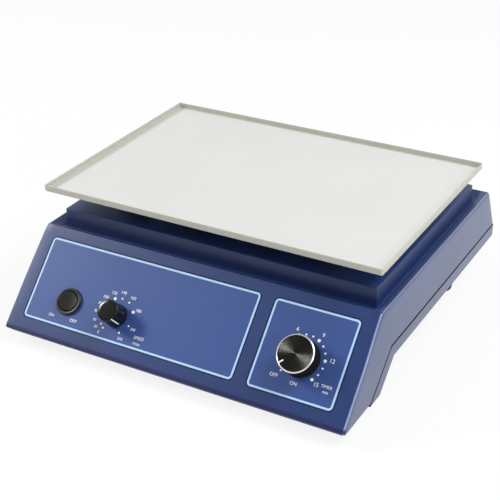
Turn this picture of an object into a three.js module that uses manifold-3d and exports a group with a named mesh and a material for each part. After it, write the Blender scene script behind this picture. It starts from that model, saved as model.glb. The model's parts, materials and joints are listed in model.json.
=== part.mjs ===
// Laboratory orbital shaker: a two-shell plastic housing with a sloping control panel,
// a belt-driven crank under a plinth, and a shallow tray that circles without turning.
// Millimetres, +Z up, +X to the right, +Y to the back. The origin is on the floor
// under the middle of the housing. The front faces -Y.

import * as THREE from 'three';
import { mergeVertices } from 'three/addons/utils/BufferGeometryUtils.js';
import Module from 'manifold-3d';

const wasm = await Module();
wasm.setup();

// Housing, overall
const HOUSING_WIDTH = 324.4;
const HOUSING_DEPTH = 327;
const SHOULDER_HEIGHT = 83;
const SHOULDER_DRAFT = 1.2;
const PANEL_SLOPE_DEGREES = 45.3;
const CHIN_LOW = 11.5;
const CHIN_NOSE = 1.5;
const CHIN_SETBACK = 1.5;
const WALL = 3;
const CORNER_RADIUS = 2;

// Seam between the shells, and the lower shell
const SEAM_HEIGHT = 43;
const SEAM_GAP = 1.3;
const SEAM_CORNER_SETBACK = 86;
const SEAM_FOOT_SETBACK = 50.2;
const REAR_SETBACK = 18.4;
const REAR_SEAM_SETBACK = 1.5;
const PAN_DEPTH = 11.7;
const PAN_EDGE = 3;
const TOE_BOTTOM = 8.5;
const PAN_BAND = 12.8;
const LIP_THICKNESS = 1.5;
const LIP_RISE = 4;
const LIP_DROP = 6;

// Plinth and the gutter round it
const GUTTER_SIDE = 10.8;
const GUTTER_FRONT = 11.8;
const GUTTER_REAR = 14.2;
const GUTTER_DEPTH = 7;
const PLINTH_RISE = 11;
const PLINTH_DRAFT = 0.8;
const PLINTH_EDGE_RADIUS = 1.8;
const PLINTH_CORNER_RADIUS = 5;

// Feet and legs
const FOOT_TOP_RADIUS = 10.5;
const FOOT_FLOOR_RADIUS = 9;
const FOOT_SIDE_SETBACK = 24.4;
const FRONT_FOOT_SETBACK = 38.5;
const REAR_FOOT_SETBACK = 65.5;
const FOOT_RECESS_RADIUS = 5;
const FOOT_RECESS_DEPTH = 4;
const LEG_RADIUS = 15;
const FOOT_SCREW_RADIUS = 2;
const FOOT_SCREW_LENGTH = 9;
const SCREW_HEAD_RADIUS = 3.8;
const SCREW_HEAD_HEIGHT = 2.4;

// Tray and its carrier
const TRAY_WIDTH = 320;
const TRAY_DEPTH = 220;
const TRAY_RIM = 5.9;
const TRAY_SHEET = 1;
const TRAY_CORNER_RADIUS = 1.5;
const TRAY_GAP = 18.6;
const CARRIER_MARGIN = 22;
const CARRIER_SHEET = 2.5;
const CARRIER_CORNER_RADIUS = 12;

// Crank drive
const ORBIT_RADIUS = 10;
const CRANK_DEGREES = 258.5;
const SHAFT_OFFSET = 3.065;
const SHAFT_RADIUS = 6;
const PIN_RADIUS = 4;
const IDLER_SHAFT_RADIUS = 4;
const IDLER_SIDE_SETBACK = 45.2;
const IDLER_END_SETBACK = 44.665;
const WEB_THICKNESS = 4.6;
const WEB_RADIUS = 9;
const WEB_RISE = 1.6;
const PIN_BEARING_RADIUS = 11;
const PIN_BEARING_WIDTH = 7;
const HUB_RADIUS = 14;
const SHAFT_BEARING_RADIUS = 14;
const SHAFT_BEARING_WIDTH = 8;
const MAIN_HOUSING_RADIUS = 18;
const MAIN_HOUSING_CLEARANCE = 3.9;
const IDLER_HOUSING_RADIUS = 13;
const IDLER_HOUSING_LENGTH = 20;
const FLANGE_MARGIN = 11;
const FLANGE_THICKNESS = 4;
const COUNTERWEIGHT_RADIUS = 36;
const COUNTERWEIGHT_THICKNESS = 8;
const COUNTERWEIGHT_HUB_RADIUS = 12;
const DECK_SHEET = 2.5;
const DECK_MARGIN = 5;

// Belt, pulleys and motor
const DRIVEN_PULLEY_RADIUS = 44;
const MOTOR_PULLEY_RADIUS = 11;
const PULLEY_WIDTH = 10;
const PULLEY_FLANGE = 1.6;
const PULLEY_LIFT = 4;
const BELT_WIDTH = 6;
const BELT_THICKNESS = 2;
const MOTOR_REACH_X = 76;
const MOTOR_REACH_Y = 4.7;
const MOTOR_RADIUS = 28;
const MOTOR_CLEARANCE = 2.3;
const MOTOR_SHAFT_RADIUS = 3;
const BRACKET_SHEET = 2.5;
const BRACKET_WIDTH = 66;
const BRACKET_DEPTH = 44;

// Control panel
const LABEL_SHEET = 0.5;
const LABEL_RECESS = 0.8;
const LABEL_TOP = 10.5;
const LABEL_BOTTOM = 14;
const LABEL_RADIUS = 4.5;
const LABEL_SIDE_MARGIN = 13.9;
const LABEL_RIGHT_MARGIN = 15.1;
const LABEL_SPACE = 13.05;
const RIGHT_LABEL_WIDTH = 74.9;
const SWITCH_IN = 39.3;
const SWITCH_UP = 22.8;
const SWITCH_BEZEL_RADIUS = 12;
const SWITCH_BEZEL_RISE = 2;
const SWITCH_BODY_RADIUS = 9.8;
const SWITCH_BODY_DEPTH = 20;
const ROCKER_RADIUS = 8.2;
const ROCKER_GAP = 0.7;
const ROCKER_RISE = 4.4;
const ROCKER_DEPTH = 4;
const ROCKER_TILT_DEGREES = 11;
const SPEED_BESIDE_SWITCH = 48.9;
const SPEED_UP = 22.9;
const SPEED_KNOB_RADIUS = 10.2;
const SPEED_KNOB_TOP_RADIUS = 9.4;
const SPEED_KNOB_HEIGHT = 17.2;
const SPEED_POINTER_DEGREES = -47;
const POT_RADIUS = 12;
const POT_DEPTH = 11;
const POT_BUSHING_RADIUS = 3.5;
const CONTROL_SHAFT_RADIUS = 3;
const CONTROL_SHAFT_RISE = 13;
const TIMER_OFFSET = 0.25;
const TIMER_UP = 32.8;
const TIMER_KNOB_RADIUS = 15.6;
const TIMER_KNOB_CHAMFER = 0.8;
const TIMER_KNOB_HEIGHT = 16.4;
const TIMER_POINTER_DEGREES = 225;
const TIMER_WIDTH = 40;
const TIMER_BODY_HEIGHT = 36;
const TIMER_DEPTH = 18;
const TIMER_BUSHING_RADIUS = 4.5;
const NUT_ACROSS = 10;
const NUT_THICKNESS = 2.2;
const POINTER_WIDTH = 1.2;
const POINTER_DEPTH = 0.5;
const POINTER_LENGTH = 5;

// Electrics
const BOARD_SIDE_SETBACK = 100.2;
const BOARD_FRONT_SETBACK = 119.5;
const BOARD_WIDTH = 88;
const BOARD_DEPTH = 44;
const BOARD_SHEET = 1.6;
const STANDOFF_RADIUS = 3.5;
const STANDOFF_HEIGHT = 6;
const TRANSFORMER_SIDE_SETBACK = 96.2;
const TRANSFORMER_FRONT_SETBACK = 125.5;
const TRANSFORMER_WIDTH = 48;
const TRANSFORMER_DEPTH = 40;
const TRANSFORMER_HEIGHT = 36;
const GLAND_SIDE_SETBACK = 50.2;
const GLAND_FLANGE_RADIUS = 9;
const GLAND_FLANGE = 3.5;
const GLAND_BODY_RADIUS = 6.5;
const GLAND_BODY_LENGTH = 11;
const GLAND_MOUTH_RADIUS = 3.5;
const GLAND_MOUTH_DEPTH = 2.5;
const FUSE_BESIDE_GLAND = 36;
const FUSE_BODY_RADIUS = 6;
const FUSE_BODY_LENGTH = 28;
const FUSE_FLANGE_RADIUS = 8.5;
const FUSE_FLANGE = 2;
const FUSE_CAP_RADIUS = 6;
const FUSE_CAP_HEIGHT = 3.5;
const REAR_FITTING_DOWN = 26;

// Case screws
const CASE_SCREW_SIDE_SETBACK = 15.2;
const CASE_SCREW_FRONT_SETBACK = 111.5;
const CASE_SCREW_REAR_SETBACK = 29.5;
const CASE_SCREW_RADIUS = 2;
const CASE_SCREW_LENGTH = 26;
const CASE_BOSS_RADIUS = 5;
const CASE_BOSS_GAP = 0.6;

// Fits, counts and the merging distance
const GAP = 0.3;
const BORE_GAP = 0.15;
const CUT = 5;
const MERGE = 1e-4;
const ROUND_STEPS = 24;
const SMALL_STEPS = 12;
const CORNER_STEPS = 3;
const HEXAGON = 6;
const QUARTER = Math.PI / 2;

// Places worked out from the sizes
const slope = THREE.MathUtils.degToRad(PANEL_SLOPE_DEGREES);
const frontY = -HOUSING_DEPTH / 2;
const rearY = HOUSING_DEPTH / 2;
const noseZ = CHIN_LOW + CHIN_NOSE;
const foldY = frontY + (SHOULDER_HEIGHT - noseZ) / Math.tan(slope);
const shoulderRearY = rearY - REAR_SETBACK;
const seamRearY = rearY - REAR_SEAM_SETBACK;
const rearLean = Math.atan2(seamRearY - shoulderRearY, SHOULDER_HEIGHT - SEAM_HEIGHT);
const baseHalf = HOUSING_WIDTH / 2;
const shoulderHalf = baseHalf - SHOULDER_DRAFT;
const seamCornerY = frontY + SEAM_CORNER_SETBACK;
const seamFootY = frontY + SEAM_FOOT_SETBACK;
const panBottom = SEAM_HEIGHT - PAN_DEPTH;
const panFloor = panBottom + WALL;
const gutterZ = SHOULDER_HEIGHT - GUTTER_DEPTH;
const plinthTop = SHOULDER_HEIGHT + PLINTH_RISE;
const plinthHalf = shoulderHalf - GUTTER_SIDE;
const plinthFront = foldY + GUTTER_FRONT;
const plinthRear = shoulderRearY - GUTTER_REAR;
const plinthCeiling = plinthTop - WALL;
const trayBottom = plinthTop + TRAY_GAP;
const shaftY = (plinthFront + plinthRear) / 2 + SHAFT_OFFSET;
const idlerSpreadX = plinthHalf - IDLER_SIDE_SETBACK;
const idlerSpreadY = (plinthRear - plinthFront) / 2 - IDLER_END_SETBACK;
const crank = THREE.MathUtils.degToRad(CRANK_DEGREES);
const orbitX = ORBIT_RADIUS * Math.cos(crank);
const orbitY = ORBIT_RADIUS * Math.sin(crank);
const trayY = shaftY + orbitY;
const deckTop = plinthCeiling - GAP;
const deckBottom = deckTop - DECK_SHEET;
const webBottom = plinthTop + WEB_RISE;
const webTop = webBottom + WEB_THICKNESS;
const carrierTop = trayBottom - GAP;
const carrierBottom = carrierTop - CARRIER_SHEET;
const bearingTop = carrierBottom - GAP;
const bearingBottom = bearingTop - PIN_BEARING_WIDTH;
const pulleyBottom = panFloor + PULLEY_LIFT;
const pulleyTop = pulleyBottom + PULLEY_WIDTH;
const motorX = -MOTOR_REACH_X;
const motorY = shaftY + MOTOR_REACH_Y;
const panelLength = (SHOULDER_HEIGHT - noseZ) / Math.sin(slope);
const labelBottomDown = panelLength - LABEL_BOTTOM;
const labelHeight = labelBottomDown - LABEL_TOP;
const rightLabelLeft = baseHalf - LABEL_RIGHT_MARGIN - RIGHT_LABEL_WIDTH;
const rightLabelX = rightLabelLeft + RIGHT_LABEL_WIDTH / 2;
const leftLabelWidth = rightLabelLeft - LABEL_SPACE + baseHalf - LABEL_SIDE_MARGIN;
const leftLabelX = LABEL_SIDE_MARGIN + leftLabelWidth / 2 - baseHalf;
const switchX = LABEL_SIDE_MARGIN + SWITCH_IN - baseHalf;
const switchDown = labelBottomDown - SWITCH_UP;
const speedX = switchX + SPEED_BESIDE_SWITCH;
const speedDown = labelBottomDown - SPEED_UP;
const timerX = rightLabelX + TIMER_OFFSET;
const timerDown = labelBottomDown - TIMER_UP;
const boardX = baseHalf - BOARD_SIDE_SETBACK;
const boardY = frontY + BOARD_FRONT_SETBACK;
const transformerX = TRANSFORMER_SIDE_SETBACK - baseHalf;
const transformerY = frontY + TRANSFORMER_FRONT_SETBACK;
const glandX = baseHalf - GLAND_SIDE_SETBACK;
const fuseX = glandX - FUSE_BESIDE_GLAND;
const footX = baseHalf - FOOT_SIDE_SETBACK;
const rearFootY = rearY - REAR_FOOT_SETBACK;
const caseScrewX = baseHalf - CASE_SCREW_SIDE_SETBACK;
const caseScrewFrontY = frontY + CASE_SCREW_FRONT_SETBACK;
const caseScrewRearY = rearY - CASE_SCREW_REAR_SETBACK;

// Materials
function finish(colour, roughness, metalness) {
  return new THREE.MeshStandardMaterial({ color: colour, roughness, metalness });
}
const bluePlastic = () => finish(0x3c4678, 0.45, 0);
const labelBlue = () => finish(0x505fa0, 0.5, 0);
const trayWhite = () => finish(0xe6e8e0, 0.5, 0);
const blackPlastic = () => finish(0x101012, 0.25, 0);
const spunMetal = () => finish(0x1a1a1c, 0.3, 0.8);
const rubber = () => finish(0x161616, 0.9, 0);
const steel = () => finish(0xb8bcc0, 0.35, 0.9);
const aluminium = () => finish(0xa8acb0, 0.45, 0.8);
const brass = () => finish(0xb08d4a, 0.4, 0.9);
const boardGreen = () => finish(0x1f5a34, 0.6, 0);
const motorGrey = () => finish(0x6a6e72, 0.5, 0.5);

// A closed three.js geometry as a solid that can be joined and cut
function solid(geometry) {
  const bare = geometry.index ? geometry.toNonIndexed() : geometry.clone();
  bare.deleteAttribute('normal');
  bare.deleteAttribute('uv');
  const merged = mergeVertices(bare, MERGE);
  const index = merged.index.array;
  const kept = [];
  for (let i = 0; i < index.length; i += 3) {
    const [a, b, c] = [index[i], index[i + 1], index[i + 2]];
    if (a !== b && b !== c && c !== a) kept.push(a, b, c);
  }
  return new wasm.Manifold(new wasm.Mesh({
    numProp: 3,
    vertProperties: merged.attributes.position.array,
    triVerts: Uint32Array.from(kept),
  }));
}

function part(name, body, material) {
  const mesh = body.getMesh();
  const geometry = new THREE.BufferGeometry();
  geometry.setAttribute('position', new THREE.BufferAttribute(new Float32Array(mesh.vertProperties), 3));
  geometry.setIndex(new THREE.BufferAttribute(new Uint32Array(mesh.triVerts), 1));
  geometry.computeVertexNormals();
  const node = new THREE.Mesh(geometry, material);
  node.name = name;
  return node;
}

function union(bodies) {
  return bodies.reduce((sum, body) => sum.add(body));
}

// Outline helpers
function outline(points) {
  return new THREE.Shape(points.map(([x, y]) => new THREE.Vector2(x, y)));
}

function roundedPoints(x0, x1, y0, y1, radius, steps = CORNER_STEPS) {
  const centres = [[x1 - radius, y1 - radius], [x0 + radius, y1 - radius],
    [x0 + radius, y0 + radius], [x1 - radius, y0 + radius]];
  return centres.flatMap(([cx, cy], corner) => Array.from({ length: steps + 1 }, (_, i) => {
    const angle = (corner + i / steps) * QUARTER;
    return [cx + radius * Math.cos(angle), cy + radius * Math.sin(angle)];
  }));
}

function prism(points, bottom, top, holes = []) {
  const shape = outline(points);
  shape.holes = holes.map((hole) => new THREE.Path(hole.map(([x, y]) => new THREE.Vector2(x, y))));
  const geometry = new THREE.ExtrudeGeometry(shape, { depth: top - bottom, bevelEnabled: false });
  return solid(geometry.translate(0, 0, bottom));
}

// An outline in (Y, Z) carried along X from one side to the other
function sideways(points, x0, x1) {
  const geometry = new THREE.ExtrudeGeometry(outline(points), { depth: x1 - x0, bevelEnabled: false });
  const turn = new THREE.Matrix4().makeBasis(
    new THREE.Vector3(0, 1, 0), new THREE.Vector3(0, 0, 1), new THREE.Vector3(1, 0, 0));
  return solid(geometry.applyMatrix4(turn).translate(x0, 0, 0));
}

// An outline in (X, Z) carried along Y from the front to the back
function backwards(points, y0, y1) {
  const geometry = new THREE.ExtrudeGeometry(outline(points), { depth: y1 - y0, bevelEnabled: false });
  const turn = new THREE.Matrix4().makeBasis(
    new THREE.Vector3(1, 0, 0), new THREE.Vector3(0, 0, 1), new THREE.Vector3(0, -1, 0));
  return solid(geometry.applyMatrix4(turn).translate(0, y1, 0));
}

// Rings of equally many points, stacked and closed by a flat face at each end
function loft(rings) {
  const count = rings[0].points.length;
  const positions = [];
  const corner = (ring, i) => [ring.points[i % count][0], ring.points[i % count][1], ring.z];
  const triangle = (a, b, c) => positions.push(...a, ...b, ...c);
  rings.slice(1).forEach((upper, level) => {
    const lower = rings[level];
    for (let i = 0; i < count; i += 1) {
      triangle(corner(lower, i), corner(lower, i + 1), corner(upper, i + 1));
      triangle(corner(lower, i), corner(upper, i + 1), corner(upper, i));
    }
  });
  const first = rings[0];
  const last = rings[rings.length - 1];
  for (let i = 1; i < count - 1; i += 1) {
    triangle(corner(first, 0), corner(first, i + 1), corner(first, i));
    triangle(corner(last, 0), corner(last, i), corner(last, i + 1));
  }
  const geometry = new THREE.BufferGeometry();
  geometry.setAttribute('position', new THREE.Float32BufferAttribute(positions, 3));
  return solid(geometry);
}

// A turned piece about Z from a profile of [radius, height] points that starts and ends on the axis
function turned(profile, steps = ROUND_STEPS) {
  const points = profile.map(([radius, height]) => new THREE.Vector2(radius, height));
  return solid(new THREE.LatheGeometry(points, steps).rotateX(QUARTER));
}

function rod(radius, bottom, top, steps = ROUND_STEPS) {
  return turned([[0, bottom], [radius, bottom], [radius, top], [0, top]], steps);
}

function ring(inner, outer, bottom, top, steps = ROUND_STEPS) {
  return turned([[inner, bottom], [outer, bottom], [outer, top], [inner, top], [inner, bottom]], steps);
}

function box(x0, x1, y0, y1, z0, z1) {
  return prism([[x0, y0], [x1, y0], [x1, y1], [x0, y1]], z0, z1);
}

function place(node, x, y, z) {
  node.position.set(x, y, z);
  return node;
}

const shaker = new THREE.Group();
const housing = new THREE.Group();
const controls = new THREE.Group();
const drive = new THREE.Group();
const carriage = new THREE.Group();
const rearFittings = new THREE.Group();
shaker.add(housing, controls, drive, carriage, rearFittings);

// The control panel's own frame: X right, Y up the slope, Z out of the panel, origin on the fold
controls.position.set(0, foldY, SHOULDER_HEIGHT);
controls.rotation.x = slope;
controls.updateMatrix();

// The rear wall's frame: Z out of the leaning wall, origin at the shoulder
rearFittings.position.set(0, shoulderRearY, SHOULDER_HEIGHT);
rearFittings.rotation.x = -QUARTER + rearLean;
rearFittings.updateMatrix();

function inFrame(group, body, x, y) {
  return body.translate(x, y, 0).transform(group.matrix.elements);
}

// Upper shell outline in (Y, Z), and the line where it meets the lower shell
const seamSlope = Math.atan2(SEAM_HEIGHT - CHIN_LOW, seamCornerY - seamFootY);
const seamRun = (height) => seamFootY + (height - CHIN_LOW) / Math.tan(seamSlope);
const halfSeam = SEAM_GAP / 2;
const seamShift = halfSeam / Math.sin(seamSlope);
const upperSide = [
  [seamFootY - seamShift, CHIN_LOW],
  [frontY + CHIN_SETBACK, CHIN_LOW],
  [frontY, noseZ],
  [foldY, SHOULDER_HEIGHT],
  [shoulderRearY, SHOULDER_HEIGHT],
  [seamRearY - halfSeam * Math.tan(rearLean), SEAM_HEIGHT + halfSeam],
  [seamRun(SEAM_HEIGHT + halfSeam) - seamShift, SEAM_HEIGHT + halfSeam],
].reverse();
const frontOutline = [
  [-baseHalf, 0], [baseHalf, 0], [baseHalf, SEAM_HEIGHT],
  [shoulderHalf, SHOULDER_HEIGHT - CORNER_RADIUS / 2], [shoulderHalf - CORNER_RADIUS / 2, SHOULDER_HEIGHT],
  [CORNER_RADIUS / 2 - shoulderHalf, SHOULDER_HEIGHT], [-shoulderHalf, SHOULDER_HEIGHT - CORNER_RADIUS / 2],
  [-baseHalf, SEAM_HEIGHT],
];
const planOutline = roundedPoints(-baseHalf, baseHalf, frontY, rearY, CORNER_RADIUS);
const insideHalf = baseHalf - WALL;
const wallAlongY = WALL / Math.sin(slope);
const underGutter = gutterZ - WALL;
const insidePanelY = (height) => frontY + wallAlongY + (height - noseZ) / Math.tan(slope);
const chinInsideY = frontY + CHIN_SETBACK + WALL;
const insideRearY = (height) => shoulderRearY + (SHOULDER_HEIGHT - height) * Math.tan(rearLean)
  - WALL / Math.cos(rearLean);
const upperInside = [
  [chinInsideY, 0],
  [chinInsideY, noseZ + (chinInsideY - frontY - wallAlongY) * Math.tan(slope)],
  [insidePanelY(underGutter), underGutter],
  [insideRearY(underGutter), underGutter],
  [insideRearY(0), 0],
].reverse();

function plinthRing(inset, z, margin = 0) {
  return {
    z,
    points: roundedPoints(-plinthHalf + inset, plinthHalf - inset, plinthFront + inset, plinthRear - inset,
      PLINTH_CORNER_RADIUS - margin),
  };
}

function plinthBody() {
  const rings = [plinthRing(0, gutterZ - CUT), plinthRing(0, gutterZ)];
  for (let i = 0; i <= CORNER_STEPS; i += 1) {
    const angle = (i / CORNER_STEPS) * QUARTER;
    const inset = PLINTH_DRAFT + PLINTH_EDGE_RADIUS * (1 - Math.cos(angle));
    const z = plinthTop - PLINTH_EDGE_RADIUS * (1 - Math.sin(angle));
    rings.push(plinthRing(inset, z));
  }
  return loft(rings);
}

function gutterFunnel() {
  const inner = roundedPoints(-plinthHalf, plinthHalf, plinthFront, plinthRear, PLINTH_CORNER_RADIUS);
  const grow = (share) => roundedPoints(
    -plinthHalf - GUTTER_SIDE * share, plinthHalf + GUTTER_SIDE * share,
    plinthFront - GUTTER_FRONT * share, plinthRear + GUTTER_REAR * share, PLINTH_CORNER_RADIUS);
  const overshare = 1 + CUT / GUTTER_DEPTH;
  return loft([{ z: gutterZ, points: inner }, { z: SHOULDER_HEIGHT, points: grow(1) },
    { z: SHOULDER_HEIGHT + CUT, points: grow(overshare) }]);
}

const caseScrewPlaces = [['front_left', -caseScrewX, caseScrewFrontY],
  ['front_right', caseScrewX, caseScrewFrontY],
  ['rear_left', -caseScrewX, caseScrewRearY], ['rear_right', caseScrewX, caseScrewRearY]];
const bossSplit = panFloor + SCREW_HEAD_HEIGHT + LIP_RISE;

function upperHousing() {
  let shell = sideways(upperSide, -baseHalf - CUT, baseHalf + CUT);
  shell = shell.intersect(backwards(frontOutline, frontY - CUT, rearY + CUT));
  shell = shell.intersect(prism(planOutline, 0, SHOULDER_HEIGHT + CUT));
  shell = shell.subtract(gutterFunnel());
  shell = shell.add(plinthBody());
  shell = shell.subtract(sideways(upperInside, -insideHalf, insideHalf));
  const ceiling = WALL + PLINTH_DRAFT;
  shell = shell.subtract(loft([plinthRing(WALL, underGutter - CUT, WALL / 2),
    plinthRing(WALL, gutterZ, WALL / 2), plinthRing(ceiling, plinthCeiling, WALL / 2)]));
  for (const [, x, y] of caseScrewPlaces) {
    const boss = rod(CASE_BOSS_RADIUS, bossSplit + CASE_BOSS_GAP, gutterZ - GAP, SMALL_STEPS);
    const bore = rod(CASE_SCREW_RADIUS + BORE_GAP, 0, panBottom + CASE_SCREW_LENGTH + GAP, SMALL_STEPS);
    shell = shell.add(boss.translate(x, y, 0)).subtract(bore.translate(x, y, 0));
  }
  const mainHole = rod(MAIN_HOUSING_RADIUS + GAP, plinthCeiling - CUT, plinthTop + CUT);
  shell = shell.subtract(mainHole.translate(0, shaftY, 0));
  for (const [, x, y] of idlerPlaces) {
    const hole = rod(IDLER_HOUSING_RADIUS + GAP, plinthCeiling - CUT, plinthTop + CUT);
    shell = shell.subtract(hole.translate(x, y, 0));
  }
  const cuts = [
    [labelPocket(leftLabelWidth), leftLabelX, 0],
    [labelPocket(RIGHT_LABEL_WIDTH), rightLabelX, 0],
    [rod(SWITCH_BODY_RADIUS + GAP, -WALL - CUT, CUT), switchX, -switchDown],
    [rod(POT_BUSHING_RADIUS + GAP, -WALL - CUT, CUT, SMALL_STEPS), speedX, -speedDown],
    [rod(TIMER_BUSHING_RADIUS + GAP, -WALL - CUT, CUT, SMALL_STEPS), timerX, -timerDown],
  ];
  for (const [body, x, y] of cuts) shell = shell.subtract(inFrame(controls, body, x, y));
  const glandHole = rod(GLAND_BODY_RADIUS + GAP, -WALL - CUT, CUT, SMALL_STEPS);
  const fuseHole = rod(FUSE_BODY_RADIUS + GAP, -WALL - CUT, CUT, SMALL_STEPS);
  shell = shell.subtract(inFrame(rearFittings, glandHole, glandX, REAR_FITTING_DOWN));
  shell = shell.subtract(inFrame(rearFittings, fuseHole, fuseX, REAR_FITTING_DOWN));
  return part('upper_housing', shell, bluePlastic());
}

// Idler cranks stand at the corners of a rectangle round the main shaft
const corners = [['front_left', -1, -1], ['front_right', 1, -1], ['rear_left', -1, 1], ['rear_right', 1, 1]];
const idlerPlaces = corners
  .map(([name, sx, sy]) => [name, sx * idlerSpreadX, shaftY + sy * idlerSpreadY]);

function labelPocket(width) {
  const points = roundedPoints(-width / 2 - GAP, width / 2 + GAP, -LABEL_TOP - labelHeight - GAP,
    GAP - LABEL_TOP, LABEL_RADIUS + GAP);
  return prism(points, -LABEL_RECESS, CUT);
}

function labelSheet(name, width, x, cuts) {
  const points = roundedPoints(-width / 2, width / 2, -LABEL_TOP - labelHeight, -LABEL_TOP, LABEL_RADIUS);
  const bottom = GAP - LABEL_RECESS;
  let sheet = prism(points, bottom, bottom + LABEL_SHEET).translate(x, 0, 0);
  for (const [radius, cx, cy] of cuts) {
    sheet = sheet.subtract(rod(radius + GAP, -LABEL_RECESS - CUT, CUT, ROUND_STEPS).translate(cx, -cy, 0));
  }
  return part(name, sheet, labelBlue());
}
const labelTop = GAP - LABEL_RECESS + LABEL_SHEET;

// Lower shell
const legPlaces = [[-footX, rearFootY], [footX, rearFootY]];
const frontFootY = frontY + FRONT_FOOT_SETBACK;
const footPlaces = [['front_left', -footX, frontFootY], ['front_right', footX, frontFootY],
  ['rear_left', ...legPlaces[0]], ['rear_right', ...legPlaces[1]]];
const boardBottom = panFloor + STANDOFF_HEIGHT;

function lowerHousing() {
  const bandRun = PAN_BAND / Math.sin(seamSlope);
  const slopeTop = seamRun(panBottom) + bandRun;
  const slopeToe = seamRun(TOE_BOTTOM) + bandRun;
  const side = [
    [seamRun(TOE_BOTTOM) + seamShift, TOE_BOTTOM],
    [slopeToe, TOE_BOTTOM],
    [slopeTop, panBottom],
    [rearY - PAN_EDGE, panBottom],
    [rearY, panBottom + PAN_EDGE],
    [seamRearY + halfSeam * Math.tan(rearLean), SEAM_HEIGHT - halfSeam],
    [seamRun(SEAM_HEIGHT - halfSeam) + seamShift, SEAM_HEIGHT - halfSeam],
  ];
  const floorRun = WALL * Math.tan(seamSlope / 2);
  const toeFloor = TOE_BOTTOM + WALL;
  const inside = [
    [seamFootY - CUT, toeFloor],
    [slopeToe - floorRun, toeFloor],
    [slopeTop - floorRun, panFloor],
    [rearY - PAN_EDGE - WALL, panFloor],
    [insideRearY(SEAM_HEIGHT), SEAM_HEIGHT],
    [insideRearY(SEAM_HEIGHT), SEAM_HEIGHT + CUT],
    [seamFootY - CUT, SEAM_HEIGHT + CUT],
  ];
  let shell = sideways(side, -baseHalf - CUT, baseHalf + CUT);
  shell = shell.intersect(backwards(frontOutline, frontY - CUT, rearY + CUT));
  shell = shell.intersect(prism(planOutline, 0, SHOULDER_HEIGHT));
  shell = shell.subtract(sideways(inside, -insideHalf, insideHalf));
  const toeHalf = insideHalf - GAP;
  shell = shell.add(box(-toeHalf, toeHalf, chinInsideY + GAP, slopeToe - WALL, TOE_BOTTOM, toeFloor));
  const lipOut = insideHalf - GAP;
  const lipFront = seamRun(SEAM_HEIGHT) + WALL;
  const lip = box(-lipOut, lipOut, lipFront, insideRearY(SEAM_HEIGHT + LIP_RISE) - GAP,
    SEAM_HEIGHT - LIP_DROP, SEAM_HEIGHT + LIP_RISE);
  const lipHole = box(LIP_THICKNESS - lipOut, lipOut - LIP_THICKNESS, lipFront - CUT,
    insideRearY(SEAM_HEIGHT + LIP_RISE) - GAP - LIP_THICKNESS, 0, SHOULDER_HEIGHT);
  const joinRib = box(-insideHalf - WALL / 2, insideHalf + WALL / 2, lipFront,
    insideRearY(SEAM_HEIGHT) + WALL / 2, SEAM_HEIGHT - LIP_DROP, SEAM_HEIGHT - halfSeam - GAP);
  shell = shell.add(lip.subtract(lipHole)).add(joinRib.subtract(lipHole));
  const bosses = caseScrewPlaces.map(([, x, y]) => rod(CASE_BOSS_RADIUS, panFloor - WALL / 2, bossSplit,
    SMALL_STEPS).translate(x, y, 0));
  shell = shell.add(union(bosses));
  for (const [, x, y] of caseScrewPlaces) {
    const bore = rod(CASE_SCREW_RADIUS + BORE_GAP, 0, SHOULDER_HEIGHT, SMALL_STEPS);
    const sink = rod(SCREW_HEAD_RADIUS + GAP, 0, panBottom + SCREW_HEAD_HEIGHT + GAP, SMALL_STEPS);
    shell = shell.subtract(bore.translate(x, y, 0)).subtract(sink.translate(x, y, 0));
  }
  const legTop = panBottom + WALL / 2;
  for (const [x, y] of legPlaces) {
    const leg = turned([[0, TOE_BOTTOM], [FOOT_TOP_RADIUS, TOE_BOTTOM], [LEG_RADIUS, legTop], [0, legTop]],
      ROUND_STEPS);
    shell = shell.add(leg.translate(x, y, 0));
  }
  for (const [, x, y] of footPlaces) {
    const boss = rod(CASE_BOSS_RADIUS, TOE_BOTTOM + WALL / 2, TOE_BOTTOM + FOOT_SCREW_LENGTH, SMALL_STEPS);
    const bore = rod(FOOT_SCREW_RADIUS + BORE_GAP, 0, footScrewBase + FOOT_SCREW_LENGTH + GAP, SMALL_STEPS);
    shell = shell.add(boss.translate(x, y, 0)).subtract(bore.translate(x, y, 0));
  }
  for (const sx of [-1, 1]) {
    for (const sy of [-1, 1]) {
      const x = boardX + sx * (BOARD_WIDTH / 2 - STANDOFF_RADIUS);
      const y = boardY + sy * (BOARD_DEPTH / 2 - STANDOFF_RADIUS);
      const standoff = rod(STANDOFF_RADIUS, panFloor - WALL / 2, boardBottom - GAP, SMALL_STEPS);
      shell = shell.add(standoff.translate(x, y, 0));
    }
  }
  return part('lower_housing', shell, bluePlastic());
}

// Rubber feet, each held by a screw whose head sits in the foot's recess
const footScrewBase = FOOT_RECESS_DEPTH + GAP;

function foot(name, x, y) {
  const top = TOE_BOTTOM - GAP;
  const bore = FOOT_SCREW_RADIUS + BORE_GAP;
  const body = turned([[bore, FOOT_RECESS_DEPTH],
    [FOOT_RECESS_RADIUS, FOOT_RECESS_DEPTH], [FOOT_RECESS_RADIUS, 0],
    [FOOT_FLOOR_RADIUS, 0], [FOOT_TOP_RADIUS, FOOT_FLOOR_RADIUS / 5], [FOOT_TOP_RADIUS, top], [bore, top],
    [bore, FOOT_RECESS_DEPTH]]);
  return place(part('foot_' + name, body, rubber()), x, y, 0);
}

function screw(name, x, y, base, length, radius) {
  const head = SCREW_HEAD_RADIUS;
  const body = turned([[0, base - SCREW_HEAD_HEIGHT], [head, base - SCREW_HEAD_HEIGHT / 2], [head, base],
    [radius, base], [radius, base + length], [0, base + length]], SMALL_STEPS);
  return place(part(name, body, steel()), x, y, 0);
}

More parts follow.
